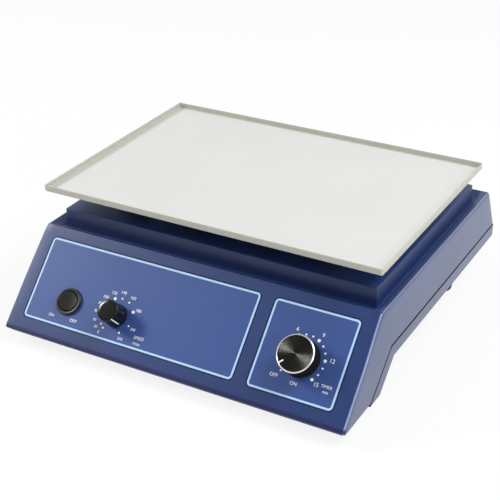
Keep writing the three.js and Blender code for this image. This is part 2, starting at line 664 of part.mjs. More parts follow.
housing.add(upperHousing(), lowerHousing());
for (const [name, x, y] of footPlaces) {
  housing.add(foot(name, x, y));
  const seat = footScrewBase - GAP * 2;
  housing.add(screw('foot_screw_' + name, x, y, seat, FOOT_SCREW_LENGTH, FOOT_SCREW_RADIUS));
}
for (const [name, x, y] of caseScrewPlaces) {
  housing.add(screw('case_screw_' + name, x, y, panBottom + SCREW_HEAD_HEIGHT,
    CASE_SCREW_LENGTH - SCREW_HEAD_HEIGHT, CASE_SCREW_RADIUS));
}

// Labels, switch, knobs and what they turn, all in the panel's frame
controls.add(labelSheet('label_left', leftLabelWidth, leftLabelX,
  [[SWITCH_BODY_RADIUS, switchX, switchDown], [NUT_ACROSS / 2 + GAP, speedX, speedDown]]));
controls.add(labelSheet('label_right', RIGHT_LABEL_WIDTH, rightLabelX,
  [[NUT_ACROSS / 2 + TIMER_BUSHING_RADIUS - POT_BUSHING_RADIUS + GAP, timerX, timerDown]]));

function switchBody() {
  const seat = labelTop + GAP;
  const well = ROCKER_RADIUS + ROCKER_GAP;
  const floor = -ROCKER_DEPTH - GAP;
  const body = turned([[0, -SWITCH_BODY_DEPTH], [SWITCH_BODY_RADIUS, -SWITCH_BODY_DEPTH],
    [SWITCH_BODY_RADIUS, seat], [SWITCH_BEZEL_RADIUS, seat],
    [SWITCH_BEZEL_RADIUS, seat + SWITCH_BEZEL_RISE / 2],
    [SWITCH_BEZEL_RADIUS - SWITCH_BEZEL_RISE / 2, seat + SWITCH_BEZEL_RISE], [well, seat + SWITCH_BEZEL_RISE],
    [well, floor], [0, floor]]);
  return place(part('power_switch_body', body, blackPlastic()), switchX, -switchDown, 0);
}

function switchRocker() {
  const body = turned([[0, -ROCKER_DEPTH / 2], [ROCKER_RADIUS, -ROCKER_DEPTH / 2],
    [ROCKER_RADIUS, ROCKER_RISE / 2], [ROCKER_RADIUS - ROCKER_RISE / 4, ROCKER_RISE],
    [0, ROCKER_RISE - ROCKER_RISE / 4]]);
  const tilt = new THREE.Matrix4().makeRotationY(THREE.MathUtils.degToRad(ROCKER_TILT_DEGREES));
  const node = part('power_switch_rocker', body.transform(tilt.elements), blackPlastic());
  return place(node, switchX, -switchDown, 0);
}

function pointerCut(degrees, radius, bottom, top) {
  const bar = box(radius - POINTER_DEPTH, radius + CUT, -POINTER_WIDTH / 2, POINTER_WIDTH / 2, bottom, top);
  return bar.rotate([0, 0, degrees]);
}

function knobBore(depth) {
  return rod(CONTROL_SHAFT_RADIUS + BORE_GAP, -CUT, depth + GAP, SMALL_STEPS);
}

function speedKnob() {
  const base = labelTop + GAP;
  const top = base + SPEED_KNOB_HEIGHT;
  const edge = SPEED_KNOB_TOP_RADIUS / 6;
  let body = turned([[0, base], [SPEED_KNOB_RADIUS, base], [SPEED_KNOB_TOP_RADIUS, top - edge],
    [SPEED_KNOB_TOP_RADIUS - edge, top - edge / 4], [0, top]]);
  const cavity = rod(NUT_ACROSS / 2 + GAP * 2, -CUT, base + NUT_THICKNESS, SMALL_STEPS);
  body = body.subtract(cavity).subtract(knobBore(base + CONTROL_SHAFT_RISE));
  body = body.subtract(pointerCut(SPEED_POINTER_DEGREES, SPEED_KNOB_TOP_RADIUS, base + edge, top + CUT));
  return place(part('speed_knob', body, blackPlastic()), speedX, -speedDown, 0);
}

function timerKnob() {
  const base = labelTop + GAP;
  const top = base + TIMER_KNOB_HEIGHT;
  const face = TIMER_KNOB_RADIUS - TIMER_KNOB_CHAMFER;
  let body = turned([[0, base], [TIMER_KNOB_RADIUS, base], [TIMER_KNOB_RADIUS, top - TIMER_KNOB_CHAMFER],
    [face, top], [0, top]], ROUND_STEPS + SMALL_STEPS);
  const cavity = rod(NUT_ACROSS / 2 + TIMER_BUSHING_RADIUS - POT_BUSHING_RADIUS + GAP * 2, -CUT,
    base + NUT_THICKNESS, SMALL_STEPS);
  body = body.subtract(cavity).subtract(knobBore(base + CONTROL_SHAFT_RISE));
  const mark = box(face - POINTER_LENGTH, face + CUT, -POINTER_WIDTH / 2, POINTER_WIDTH / 2,
    top - POINTER_DEPTH, top + CUT).rotate([0, 0, TIMER_POINTER_DEGREES]);
  return place(part('timer_knob', body.subtract(mark), spunMetal()), timerX, -timerDown, 0);
}

// A control that is clamped through the panel: a body behind it, a threaded bushing and a nut in front
function clampedControl(name, body, bushing, x, down) {
  const top = labelTop + NUT_THICKNESS;
  const stem = rod(bushing, -WALL - GAP * 2, top, SMALL_STEPS);
  const bore = rod(CONTROL_SHAFT_RADIUS + BORE_GAP, -WALL - CUT, top + CUT, SMALL_STEPS);
  return place(part(name, body.add(stem).subtract(bore), aluminium()), x, -down, 0);
}

function controlNut(name, bushing, x, down) {
  const across = NUT_ACROSS / 2 + bushing - POT_BUSHING_RADIUS;
  const bottom = GAP - LABEL_RECESS;
  const nut = rod(across, bottom, bottom + NUT_THICKNESS, HEXAGON);
  const bore = rod(bushing + BORE_GAP, -CUT, NUT_THICKNESS + CUT, SMALL_STEPS);
  return place(part(name, nut.subtract(bore), steel()), x, -down, 0);
}

function controlShaft(name, x, down) {
  const body = rod(CONTROL_SHAFT_RADIUS, -WALL - CUT + GAP, labelTop + CONTROL_SHAFT_RISE, SMALL_STEPS);
  return place(part(name, body, steel()), x, -down, 0);
}

const behind = -WALL - GAP;
const potBody = rod(POT_RADIUS, behind - POT_DEPTH, behind);
const timerBody = box(-TIMER_WIDTH / 2, TIMER_WIDTH / 2, -TIMER_BODY_HEIGHT / 2, TIMER_BODY_HEIGHT / 2,
  behind - TIMER_DEPTH, behind);
controls.add(switchBody(), switchRocker(), speedKnob(), timerKnob());
controls.add(clampedControl('speed_potentiometer', potBody, POT_BUSHING_RADIUS, speedX, speedDown));
controls.add(clampedControl('timer_mechanism', timerBody, TIMER_BUSHING_RADIUS, timerX, timerDown));
controls.add(controlNut('speed_nut', POT_BUSHING_RADIUS, speedX, speedDown));
controls.add(controlNut('timer_nut', TIMER_BUSHING_RADIUS, timerX, timerDown));
controls.add(controlShaft('speed_shaft', speedX, speedDown));
controls.add(controlShaft('timer_shaft', timerX, timerDown));

// Tray: a shallow sheet pan, and the carrier plate with its bearing hubs
function tray() {
  const half = TRAY_WIDTH / 2;
  const deep = TRAY_DEPTH / 2;
  const outer = roundedPoints(-half, half, -deep, deep, TRAY_CORNER_RADIUS);
  const inner = roundedPoints(TRAY_SHEET - half, half - TRAY_SHEET, TRAY_SHEET - deep, deep - TRAY_SHEET,
    TRAY_CORNER_RADIUS - TRAY_SHEET);
  const body = prism(outer, 0, TRAY_RIM).subtract(prism(inner, TRAY_SHEET, TRAY_RIM + CUT));
  return place(part('tray', body, trayWhite()), orbitX, trayY, trayBottom);
}

function carrier() {
  const half = TRAY_WIDTH / 2 - CARRIER_MARGIN;
  const deep = TRAY_DEPTH / 2 - CARRIER_MARGIN;
  const edge = roundedPoints(-half, half, -deep, deep, CARRIER_CORNER_RADIUS);
  let plate = prism(edge, carrierBottom, carrierTop);
  const hubPlaces = [[0, 0], ...idlerPlaces.map(([, x, y]) => [x, y - shaftY])];
  for (const [x, y] of hubPlaces) {
    const hub = rod(HUB_RADIUS, bearingBottom + GAP, carrierBottom + CARRIER_SHEET / 2, SMALL_STEPS);
    const seat = rod(PIN_BEARING_RADIUS + BORE_GAP, bearingBottom - CUT, bearingTop + GAP);
    plate = plate.add(hub.translate(x, y, 0)).subtract(seat.translate(x, y, 0));
  }
  return place(part('tray_carrier', plate, steel()), orbitX, trayY, 0);
}

carriage.add(tray(), carrier());

// Drive: deck, bearing housings, cranks, counterweight, pulleys, belt, motor
function deck() {
  const half = plinthHalf - PLINTH_DRAFT - WALL - DECK_MARGIN;
  const front = plinthFront + PLINTH_DRAFT + WALL + DECK_MARGIN;
  const rear = plinthRear - PLINTH_DRAFT - WALL - DECK_MARGIN;
  let plate = prism(roundedPoints(-half, half, front, rear, PLINTH_CORNER_RADIUS), deckBottom, deckTop);
  const mainHole = rod(MAIN_HOUSING_RADIUS + GAP, deckBottom - CUT, deckTop + CUT);
  plate = plate.subtract(mainHole.translate(0, shaftY, 0));
  for (const [, x, y] of idlerPlaces) {
    const hole = rod(IDLER_HOUSING_RADIUS + GAP, deckBottom - CUT, deckTop + CUT);
    plate = plate.subtract(hole.translate(x, y, 0));
  }
  return part('deck_plate', plate, steel());
}

const flangeTop = deckBottom - GAP;
const housingTop = plinthTop + WEB_RISE / 2;
const counterweightBottom = pulleyTop + PULLEY_FLANGE;
const counterweightTop = counterweightBottom + COUNTERWEIGHT_THICKNESS;
const mainHousingLength = housingTop - counterweightTop - MAIN_HOUSING_CLEARANCE;
const mainHousingBottom = housingTop - mainHousingLength;

function bearingHousing(name, radius, length, bearing, bearingWidth, shaft, x, y) {
  const bottom = housingTop - length;
  const seat = bearing + BORE_GAP;
  const step = bearingWidth + GAP;
  const waist = (bearing + shaft) / 2;
  const body = turned([[waist, bottom + step], [seat, bottom + step], [seat, bottom], [radius, bottom],
    [radius, flangeTop - FLANGE_THICKNESS], [radius + FLANGE_MARGIN, flangeTop - FLANGE_THICKNESS],
    [radius + FLANGE_MARGIN, flangeTop], [radius, flangeTop], [radius, housingTop], [seat, housingTop],
    [seat, housingTop - step], [waist, housingTop - step], [waist, bottom + step]]);
  return place(part(name, body, aluminium()), x, y, 0);
}

function idlerHousing(name, x, y) {
  const bottom = housingTop - IDLER_HOUSING_LENGTH;
  const bore = IDLER_SHAFT_RADIUS + BORE_GAP;
  const radius = IDLER_HOUSING_RADIUS;
  const body = turned([[bore, bottom], [radius, bottom], [radius, flangeTop - FLANGE_THICKNESS],
    [radius + FLANGE_MARGIN, flangeTop - FLANGE_THICKNESS], [radius + FLANGE_MARGIN, flangeTop],
    [radius, flangeTop], [radius, housingTop], [bore, housingTop], [bore, bottom]], SMALL_STEPS);
  return place(part('idler_bearing_unit_' + name, body, aluminium()), x, y, 0);
}

function bearing(name, inner, outer, bottom, width, x, y) {
  return place(part(name, ring(inner + BORE_GAP, outer, bottom, bottom + width), steel()), x, y, 0);
}

// A crank: its shaft, the web that reaches out by the orbit radius, and the pin on it
function crankBody(shaft, bottom) {
  const web = union([rod(WEB_RADIUS, webBottom, webTop, SMALL_STEPS),
    rod(WEB_RADIUS, webBottom, webTop, SMALL_STEPS).translate(orbitX, orbitY, 0),
    box(0, ORBIT_RADIUS, -WEB_RADIUS, WEB_RADIUS, webBottom, webTop).rotate([0, 0, CRANK_DEGREES])]);
  const stem = rod(shaft, bottom, webBottom + WEB_THICKNESS / 2, SMALL_STEPS);
  const collar = rod(PIN_RADIUS + WEB_RISE, webTop - WEB_RISE, bearingBottom - GAP, SMALL_STEPS);
  const pin = rod(PIN_RADIUS, webTop - WEB_RISE, bearingTop - GAP, SMALL_STEPS);
  return web.add(stem).add(pin.add(collar).translate(orbitX, orbitY, 0));
}

function counterweight() {
  const bottom = counterweightBottom;
  const top = counterweightTop;
  const hub = rod(COUNTERWEIGHT_HUB_RADIUS, bottom, top, ROUND_STEPS);
  const disc = rod(COUNTERWEIGHT_RADIUS, bottom, top, ROUND_STEPS);
  const half = box(-COUNTERWEIGHT_RADIUS - CUT, 0, -COUNTERWEIGHT_RADIUS - CUT, COUNTERWEIGHT_RADIUS + CUT,
    bottom - CUT, top + CUT).rotate([0, 0, CRANK_DEGREES]);
  const bore = rod(SHAFT_RADIUS + BORE_GAP, bottom - CUT, top + CUT, SMALL_STEPS);
  return place(part('counterweight', disc.intersect(half).add(hub).subtract(bore), brass()), 0, shaftY, 0);
}

function pulley(name, radius, bore, x, y) {
  const groove = (PULLEY_WIDTH - BELT_WIDTH) / 2 - GAP;
  const rim = radius + BELT_THICKNESS / 2 + PULLEY_FLANGE;
  const hole = bore + BORE_GAP;
  const body = turned([[hole, pulleyBottom], [rim, pulleyBottom], [rim, pulleyBottom + groove],
    [radius, pulleyBottom + groove], [radius, pulleyTop - groove], [rim, pulleyTop - groove],
    [rim, pulleyTop],
    [hole, pulleyTop], [hole, pulleyBottom]]);
  return place(part(name, body, aluminium()), x, y, 0);
}

// The belt follows both pulleys and the two straight runs between them
function beltLoop(extra) {
  const dx = motorX;
  const dy = motorY - shaftY;
  const distance = Math.hypot(dx, dy);
  const heading = Math.atan2(dy, dx);
  const big = DRIVEN_PULLEY_RADIUS + GAP + extra;
  const small = MOTOR_PULLEY_RADIUS + GAP + extra;
  const lean = Math.acos((big - small) / distance);
  const points = [];
  const bigSweep = 2 * Math.PI - 2 * lean;
  for (let i = 0; i <= ROUND_STEPS; i += 1) {
    const angle = heading + lean + (i / ROUND_STEPS) * bigSweep;
    points.push([big * Math.cos(angle), shaftY + big * Math.sin(angle)]);
  }
  for (let i = 0; i <= SMALL_STEPS; i += 1) {
    const angle = heading - lean + (i / SMALL_STEPS) * 2 * lean;
    points.push([motorX + small * Math.cos(angle), motorY + small * Math.sin(angle)]);
  }
  return points;
}

function belt() {
  const middle = (pulleyBottom + pulleyTop) / 2;
  const bottom = middle - BELT_WIDTH / 2;
  const body = prism(beltLoop(BELT_THICKNESS), bottom, bottom + BELT_WIDTH, [beltLoop(0)]);
  return part('drive_belt', body, rubber());
}

const bracketTop = deckBottom - GAP;
const motorTop = bracketTop - BRACKET_SHEET;
const bracketFloor = pulleyTop + MOTOR_CLEARANCE;
const motorBottom = bracketFloor + BRACKET_SHEET + GAP;
const motorHeight = motorTop - motorBottom;

function motorBracket() {
  const half = BRACKET_WIDTH / 2;
  const deep = BRACKET_DEPTH / 2;
  const frame = box(-half, half, -deep, deep, bracketFloor, bracketTop);
  const room = box(BRACKET_SHEET - half, half - BRACKET_SHEET, -deep - CUT, deep + CUT,
    bracketFloor + BRACKET_SHEET, bracketTop + CUT);
  const earX = half - BRACKET_SHEET / 2;
  const ear = box(-BRACKET_SHEET, BRACKET_SHEET, -deep, deep, bracketTop - BRACKET_SHEET, bracketTop);
  const ears = union([-earX, earX].map((x) => ear.translate(x, 0, 0)));
  const hole = rod(MOTOR_PULLEY_RADIUS, bracketFloor - CUT, motorBottom + CUT, SMALL_STEPS);
  const body = frame.subtract(room).add(ears).subtract(hole);
  return place(part('motor_bracket', body, steel()), motorX, motorY, 0);
}

function motor() {
  const edge = BRACKET_SHEET / 2;
  const body = turned([[0, motorBottom], [MOTOR_RADIUS - edge, motorBottom],
    [MOTOR_RADIUS, motorBottom + edge],
    [MOTOR_RADIUS, motorTop - edge], [MOTOR_RADIUS - edge, motorTop], [0, motorTop]]);
  const boreTop = motorBottom + motorHeight / 2;
  const bore = rod(MOTOR_SHAFT_RADIUS + BORE_GAP, motorBottom - CUT, boreTop, SMALL_STEPS);
  return place(part('drive_motor', body.subtract(bore), motorGrey()), motorX, motorY, 0);
}

drive.add(deck());
drive.add(bearingHousing('main_bearing_housing', MAIN_HOUSING_RADIUS, mainHousingLength, SHAFT_BEARING_RADIUS,
  SHAFT_BEARING_WIDTH, SHAFT_RADIUS, 0, shaftY));
drive.add(bearing('main_bearing_lower', SHAFT_RADIUS, SHAFT_BEARING_RADIUS, mainHousingBottom,
  SHAFT_BEARING_WIDTH, 0, shaftY));
drive.add(bearing('main_bearing_upper', SHAFT_RADIUS, SHAFT_BEARING_RADIUS, housingTop - SHAFT_BEARING_WIDTH,
  SHAFT_BEARING_WIDTH, 0, shaftY));
drive.add(place(part('crankshaft', crankBody(SHAFT_RADIUS, pulleyBottom - GAP), steel()), 0, shaftY, 0));
drive.add(bearing('crank_pin_bearing', PIN_RADIUS, PIN_BEARING_RADIUS, bearingBottom, PIN_BEARING_WIDTH,
  orbitX, shaftY + orbitY));
drive.add(counterweight());
drive.add(pulley('driven_pulley', DRIVEN_PULLEY_RADIUS, SHAFT_RADIUS, 0, shaftY));
drive.add(pulley('motor_pulley', MOTOR_PULLEY_RADIUS, MOTOR_SHAFT_RADIUS, motorX, motorY));
drive.add(belt(), motorBracket(), motor());
drive.add(place(part('motor_shaft', rod(MOTOR_SHAFT_RADIUS, pulleyBottom, motorBottom + motorHeight / 3,
  SMALL_STEPS), steel()), motorX, motorY, 0));
for (const [name, x, y] of idlerPlaces) {
  drive.add(idlerHousing(name, x, y));
  drive.add(place(part('idler_crank_' + name,
    crankBody(IDLER_SHAFT_RADIUS, housingTop - IDLER_HOUSING_LENGTH - GAP), steel()), x, y, 0));
  drive.add(bearing('idler_pin_bearing_' + name, PIN_RADIUS, PIN_BEARING_RADIUS, bearingBottom,
    PIN_BEARING_WIDTH, x + orbitX, y + orbitY));
}

// Electrics on the lower shell's floor and on the rear wall. The board's blocks are its heat sink,
// relay and terminals: X from and to, Y from and to, and rise, as shares of the half board
const BOARD_BLOCK_SHARES = [
  [-0.8, -0.2, 0.5, 0.9, 0.6],
  [-0.8, -0.4, -0.8, -0.2, 0.45],
  [0.1, 0.9, -0.9, -0.6, 0.3],
];
const CAPACITOR_SHARES = [0.25, 0.6, 0.5, 0.7];
const CORE_DEPTH_SHARE = 0.6;
const COIL_SHARES = [0.65, 0.2, 0.8];

function controlBoard() {
  const half = BOARD_WIDTH / 2;
  const deep = BOARD_DEPTH / 2;
  const top = boardBottom + BOARD_SHEET;
  const seated = top - BOARD_SHEET / 2;
  const plate = box(-half, half, -deep, deep, boardBottom, top);
  const blocks = BOARD_BLOCK_SHARES.map(([x0, x1, y0, y1, rise]) =>
    box(half * x0, half * x1, deep * y0, deep * y1, seated, top + deep * rise));
  const [radiusShare, xShare, yShare, riseShare] = CAPACITOR_SHARES;
  const capacitor = rod(deep * radiusShare, seated, top + deep * riseShare, SMALL_STEPS);
  const body = union([plate, ...blocks, capacitor.translate(half * xShare, deep * yShare, 0)]);
  return place(part('control_board', body, boardGreen()), boardX, boardY, 0);
}

function transformer() {
  const half = TRANSFORMER_WIDTH / 2;
  const deep = TRANSFORMER_DEPTH / 2;
  const bottom = panFloor + GAP;
  const coreDeep = deep * CORE_DEPTH_SHARE;
  const core = box(-half, half, -coreDeep, coreDeep, bottom, bottom + TRANSFORMER_HEIGHT);
  const [widthShare, lowShare, highShare] = COIL_SHARES;
  const coil = box(-half * widthShare, half * widthShare, -deep, deep, bottom + TRANSFORMER_HEIGHT * lowShare,
    bottom + TRANSFORMER_HEIGHT * highShare);
  return place(part('transformer', core.add(coil), steel()), transformerX, transformerY, 0);
}

housing.add(controlBoard(), transformer());

function cordGland() {
  const body = turned([[0, -GLAND_BODY_LENGTH], [GLAND_BODY_RADIUS, -GLAND_BODY_LENGTH],
    [GLAND_BODY_RADIUS, GAP],
    [GLAND_FLANGE_RADIUS, GAP], [GLAND_FLANGE_RADIUS, GLAND_FLANGE * 0.6], [GLAND_BODY_RADIUS, GLAND_FLANGE],
    [GLAND_MOUTH_RADIUS, GLAND_FLANGE], [GLAND_MOUTH_RADIUS, GLAND_FLANGE - GLAND_MOUTH_DEPTH],
    [0, GLAND_FLANGE - GLAND_MOUTH_DEPTH]]);
  return place(part('cord_gland', body, blackPlastic()), glandX, REAR_FITTING_DOWN, 0);
}

function glandNut() {
  const top = -WALL - GAP;
  const bottom = top - NUT_THICKNESS;
  const nut = rod(GLAND_FLANGE_RADIUS, bottom, top, HEXAGON);
  const bore = rod(GLAND_BODY_RADIUS + BORE_GAP, bottom - CUT, top + CUT);
  return place(part('cord_gland_nut', nut.subtract(bore), blackPlastic()), glandX, REAR_FITTING_DOWN, 0);
}

function fuseHolder() {
  const body = turned([[0, -FUSE_BODY_LENGTH], [FUSE_BODY_RADIUS, -FUSE_BODY_LENGTH], [FUSE_BODY_RADIUS, GAP],
    [FUSE_FLANGE_RADIUS, GAP], [FUSE_FLANGE_RADIUS, FUSE_FLANGE + GAP], [0, FUSE_FLANGE + GAP]]);
  return place(part('fuse_holder', body, blackPlastic()), fuseX, REAR_FITTING_DOWN, 0);
}

function fuseCap() {
  const bottom = FUSE_FLANGE + GAP * 2;
  const top = bottom + FUSE_CAP_HEIGHT;
  const cap = turned([[0, bottom], [FUSE_CAP_RADIUS, bottom], [FUSE_CAP_RADIUS, top - POINTER_DEPTH],
    [FUSE_CAP_RADIUS - POINTER_DEPTH, top], [0, top]]);
  const slot = box(-FUSE_CAP_RADIUS * 0.7, FUSE_CAP_RADIUS * 0.7, -POINTER_WIDTH / 2, POINTER_WIDTH / 2,
    top - POINTER_WIDTH, top + CUT);
  return place(part('fuse_cap', cap.subtract(slot), blackPlastic()), fuseX, REAR_FITTING_DOWN, 0);
}

rearFittings.add(cordGland(), glandNut(), fuseHolder(), fuseCap());

export default shaker;
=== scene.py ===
# %% [markdown]
# This notebook dresses a laboratory orbital shaker. The CAD model comes in as a fixed frame
# with every size and joint. Each cell makes one visible piece or finish on that frame, in
# metres, with +Z up and the control panel facing -Y.

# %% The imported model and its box
import json
import math

import bpy
import numpy as np
from mathutils import Matrix, Vector


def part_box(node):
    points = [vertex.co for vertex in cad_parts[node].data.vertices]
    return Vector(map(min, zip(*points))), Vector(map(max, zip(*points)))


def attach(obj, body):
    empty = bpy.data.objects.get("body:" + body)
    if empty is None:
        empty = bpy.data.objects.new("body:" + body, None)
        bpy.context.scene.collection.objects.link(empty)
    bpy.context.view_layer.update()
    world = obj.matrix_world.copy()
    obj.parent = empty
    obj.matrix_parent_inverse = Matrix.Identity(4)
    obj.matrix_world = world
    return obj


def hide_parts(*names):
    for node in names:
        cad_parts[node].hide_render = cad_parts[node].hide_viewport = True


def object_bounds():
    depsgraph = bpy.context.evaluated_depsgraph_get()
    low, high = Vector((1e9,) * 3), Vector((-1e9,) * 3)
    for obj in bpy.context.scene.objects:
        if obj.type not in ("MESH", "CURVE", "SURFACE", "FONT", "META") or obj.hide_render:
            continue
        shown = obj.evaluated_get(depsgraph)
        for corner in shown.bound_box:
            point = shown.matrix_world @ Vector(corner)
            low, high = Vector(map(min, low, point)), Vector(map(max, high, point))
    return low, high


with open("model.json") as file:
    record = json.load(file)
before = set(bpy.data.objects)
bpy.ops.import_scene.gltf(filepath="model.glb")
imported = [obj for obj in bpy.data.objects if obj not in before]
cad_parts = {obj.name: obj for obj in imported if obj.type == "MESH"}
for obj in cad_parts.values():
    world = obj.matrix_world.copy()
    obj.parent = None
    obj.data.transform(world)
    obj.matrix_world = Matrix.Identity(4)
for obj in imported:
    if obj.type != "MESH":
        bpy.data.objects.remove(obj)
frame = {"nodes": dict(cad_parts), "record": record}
cad_low, cad_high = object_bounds()
print("CAD box", [round(v, 4) for v in (*cad_low, *cad_high)])

# %% [markdown]
# Every size is written in millimetres times `MM`, as on a drawing. The housing's sizes come
# first, because most other pieces sit on it. Some are read from the CAD's boxes.

# %% Driving sizes of the housing
MM = 0.001
HALF_WIDTH = cad_high.x
FRONT = cad_low.y
REAR = cad_high.y
SHOULDER = 83 * MM
SHOULDER_IN = 1.2 * MM
SLOPE = math.radians(45.3)
CHIN = 11.5 * MM
NOSE = 13 * MM
CHIN_BACK = 1.5 * MM
NOSE_SOFTNESS = 0.7 * MM
WALL = 3 * MM
SEAM_LINE = 43 * MM
SEAM_HALF = 0.65 * MM
LABEL_REACH = 152 * MM
SEAM_TURN = 86 * MM
SEAM_FOOT = 50.2 * MM
CORNER = 1.9 * MM
PLINTH_CORNER = 1.1 * MM
REAR_BACK = 18.4 * MM
REAR_SLANT = 16.9 / 40
GUTTER_SIDE = 10.8 * MM
GUTTER_FRONT = 11.8 * MM
GUTTER_REAR = 14.2 * MM
GUTTER = SHOULDER - 7 * MM
PLINTH = SHOULDER + 11 * MM
PLINTH_DRAFT = 0.8 * MM
PLINTH_EDGE = 0.9 * MM
FRONT_EDGE = 0.8 * MM
SHOULDER_EDGE = 1.4 * MM
GUTTER_FILLET = 0.5 * MM

seam_slope = math.atan2(SEAM_LINE - CHIN, SEAM_TURN - SEAM_FOOT)
SEAM = SEAM_LINE + SEAM_HALF
SEAM_FOOT_Y = FRONT + SEAM_FOOT - SEAM_HALF / math.sin(seam_slope)
SEAM_TURN_Y = SEAM_FOOT_Y + (SEAM - CHIN) / math.tan(seam_slope)
fold_y = FRONT + (SHOULDER - NOSE) / math.tan(SLOPE)
print("panel folds at y =", round(fold_y, 5))

# %% [markdown]
# A grid of points makes most surfaces here: rows run along a profile and columns run round
# the piece. Flat faces shut the first and the last row, so the piece is a closed solid. Its
# faces point outwards when the rows go up the outside and the columns run anticlockwise. A
# ring has no ends: its last row joins its first.

# %% From arrays to meshes
SMOOTH_ANGLE = math.radians(32)


def in_scene(name, data):
    """A new object with this data at the origin of the scene."""
    made = bpy.data.objects.new(name, data)
    bpy.context.scene.collection.objects.link(made)
    return made


def mesh_as_seen(piece):
    """A new mesh of the object as its modifiers or its letters make it."""
    return bpy.data.meshes.new_from_object(piece.evaluated_get(bpy.context.evaluated_depsgraph_get()))


def finish_mesh(name, points, faces, smooth=True):
    """A new piece from an (n, 3) array of points and a list of faces.

    Where it is smooth, only an edge whose faces turn by more than SMOOTH_ANGLE looks sharp."""
    mesh = bpy.data.meshes.new(name)
    mesh.from_pydata(np.asarray(points, float).tolist(), [], faces)
    mesh.update()
    mesh.polygons.foreach_set("use_smooth", np.full(len(mesh.polygons), smooth))
    mesh.set_sharp_from_angle(angle=SMOOTH_ANGLE)
    return in_scene(name, mesh)


def grid_faces(rows, columns, wrapped=False):
    """Faces between neighbouring rows of a grid whose columns close on themselves.

    Point (r, c) has number r * columns + c, and column `columns` is column 0 again. The last
    row of a wrapped grid joins the first; otherwise one flat face shuts each end."""
    steps_up = rows if wrapped else rows - 1
    row, column = np.meshgrid(np.arange(steps_up), np.arange(columns), indexing="ij")
    right, above = (column + 1) % columns, (row + 1) % rows
    low, high = row * columns, above * columns
    quads = np.stack([low + column, low + right, high + right, high + column], -1)
    ends = [list(range(columns - 1, -1, -1)), list(range((rows - 1) * columns, rows * columns))]
    return quads.reshape(-1, 4).tolist() + ([] if wrapped else ends)


def stacked(name, grid, smooth=True, wrapped=False):
    """A closed piece from a (rows, columns, 3) grid."""
    rows, columns, _ = grid.shape
    return finish_mesh(name, grid.reshape(-1, 3), grid_faces(rows, columns, wrapped), smooth)


print("two rows of four points make a box of", len(grid_faces(2, 4)), "faces")

# %% [markdown]
# The control panel leans at a little over 45 degrees. Everything on it is laid out by `x` to
# the right, `down` along the slope from the fold, and `out` from its face.

# %% The panel's own coordinates
def on_panel(x, down, out):
    """Points of the panel: the fold, minus `down` along the slope, plus `out` along its normal."""
    x, down, out = np.broadcast_arrays(*(np.asarray(v, float) for v in (x, down, out)))
    y = fold_y - down * math.cos(SLOPE) - out * math.sin(SLOPE)
    z = SHOULDER - down * math.sin(SLOPE) + out * math.cos(SLOPE)
    return np.stack([x, y, z], -1)


print("the panel's fold is at", on_panel(0, 0, 0).round(4).tolist())

# %% [markdown]
# Round pieces are turned: a profile of radius and height is swept round an axis. The radius
# of a knob with ribs also changes with the angle. `place` says where the piece's own x, y and
# height lie in the frame.

# %% Turned pieces
def even_angles(steps):
    """`steps` angles that go once round, from 0."""
    return np.arange(steps) / steps * math.tau


def turned(name, profile, place, steps=96, ribs=0, rib_depths=0.0, wrapped=False):
    """Radius r and height h of each profile point go to (r cos a, r sin a, h) for each angle a.

    With ribs, r is less by the point's rib depth * (1 - cos(ribs * a)) / 2. A wrapped profile
    is a closed loop, and makes a ring."""
    radius, height = np.hsplit(np.asarray(profile, float), 2)
    angle = even_angles(steps)
    radius = radius - np.reshape(rib_depths, (-1, 1)) * ((1 - np.cos(ribs * angle)) / 2)
    x, y = radius * np.cos(angle), radius * np.sin(angle)
    return stacked(name, place(x, y, np.broadcast_to(height, x.shape)), wrapped=wrapped)


def arc(centre, radius, start, end, steps=6):
    """Points (centre + radius * (cos a, sin a)) for angles from start to end in degrees."""
    angle = np.radians(np.linspace(start, end, steps + 1))
    return np.stack([centre[0] + radius * np.cos(angle), centre[1] + radius * np.sin(angle)], -1)


def above_node(name):
    """A place function for a piece that stands on the middle of a CAD node's box."""
    low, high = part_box(name)
    x0, y0 = (low.x + high.x) / 2, (low.y + high.y) / 2
    return lambda x, y, height: np.stack([x + x0, y + y0, height], -1)


def panel_spot(x0, down0):
    """A place function for a piece on the panel: x to the right and y up the slope from (x0, down0)."""
    return lambda x, y, height: on_panel(x + x0, down0 - y, height)


print("a quarter of a unit circle:", arc((0, 0), 1, 0, 90, 2).round(3).tolist())

# %% [markdown]
# Paint and plastic are built from nodes. Sums read badly as nodes wired by hand, so Signal
# wraps a socket and lets plain Python operators add the Math nodes. Tree holds the nodes of a
# material or of the world. Finish is a Tree with one Principled shader.

# %% Shader arithmetic
class Signal:
    """A socket that can be added, multiplied and so on; every operator adds one Math node."""

    def __init__(self, tree, socket):
        self.tree = tree
        self.socket = socket

    def math(self, operation, *others):
        inputs = dict(enumerate((self, *others)))
        return self.tree.signal("ShaderNodeMath", inputs, {"operation": operation})

    def __add__(self, other):
        return self.math("ADD", other)

    def __sub__(self, other):
        return self.math("SUBTRACT", other)

    def __mul__(self, other):
        return self.math("MULTIPLY", other)

    def __neg__(self):
        return self.math("MULTIPLY", -1)

    def __rsub__(self, other):
        return -self + other

    def step(self, low, high):
        """0 below low and 1 above high, with a soft ramp between."""
        inputs = {"Value": self, "From Min": low, "From Max": high}
        return self.tree.signal("ShaderNodeMapRange", inputs, {"interpolation_type": "SMOOTHSTEP"})

    def past(self, edge, first, last):
        """A step that starts and ends so many millimetres past an edge."""
        return self.step(edge + first * MM, edge + last * MM)


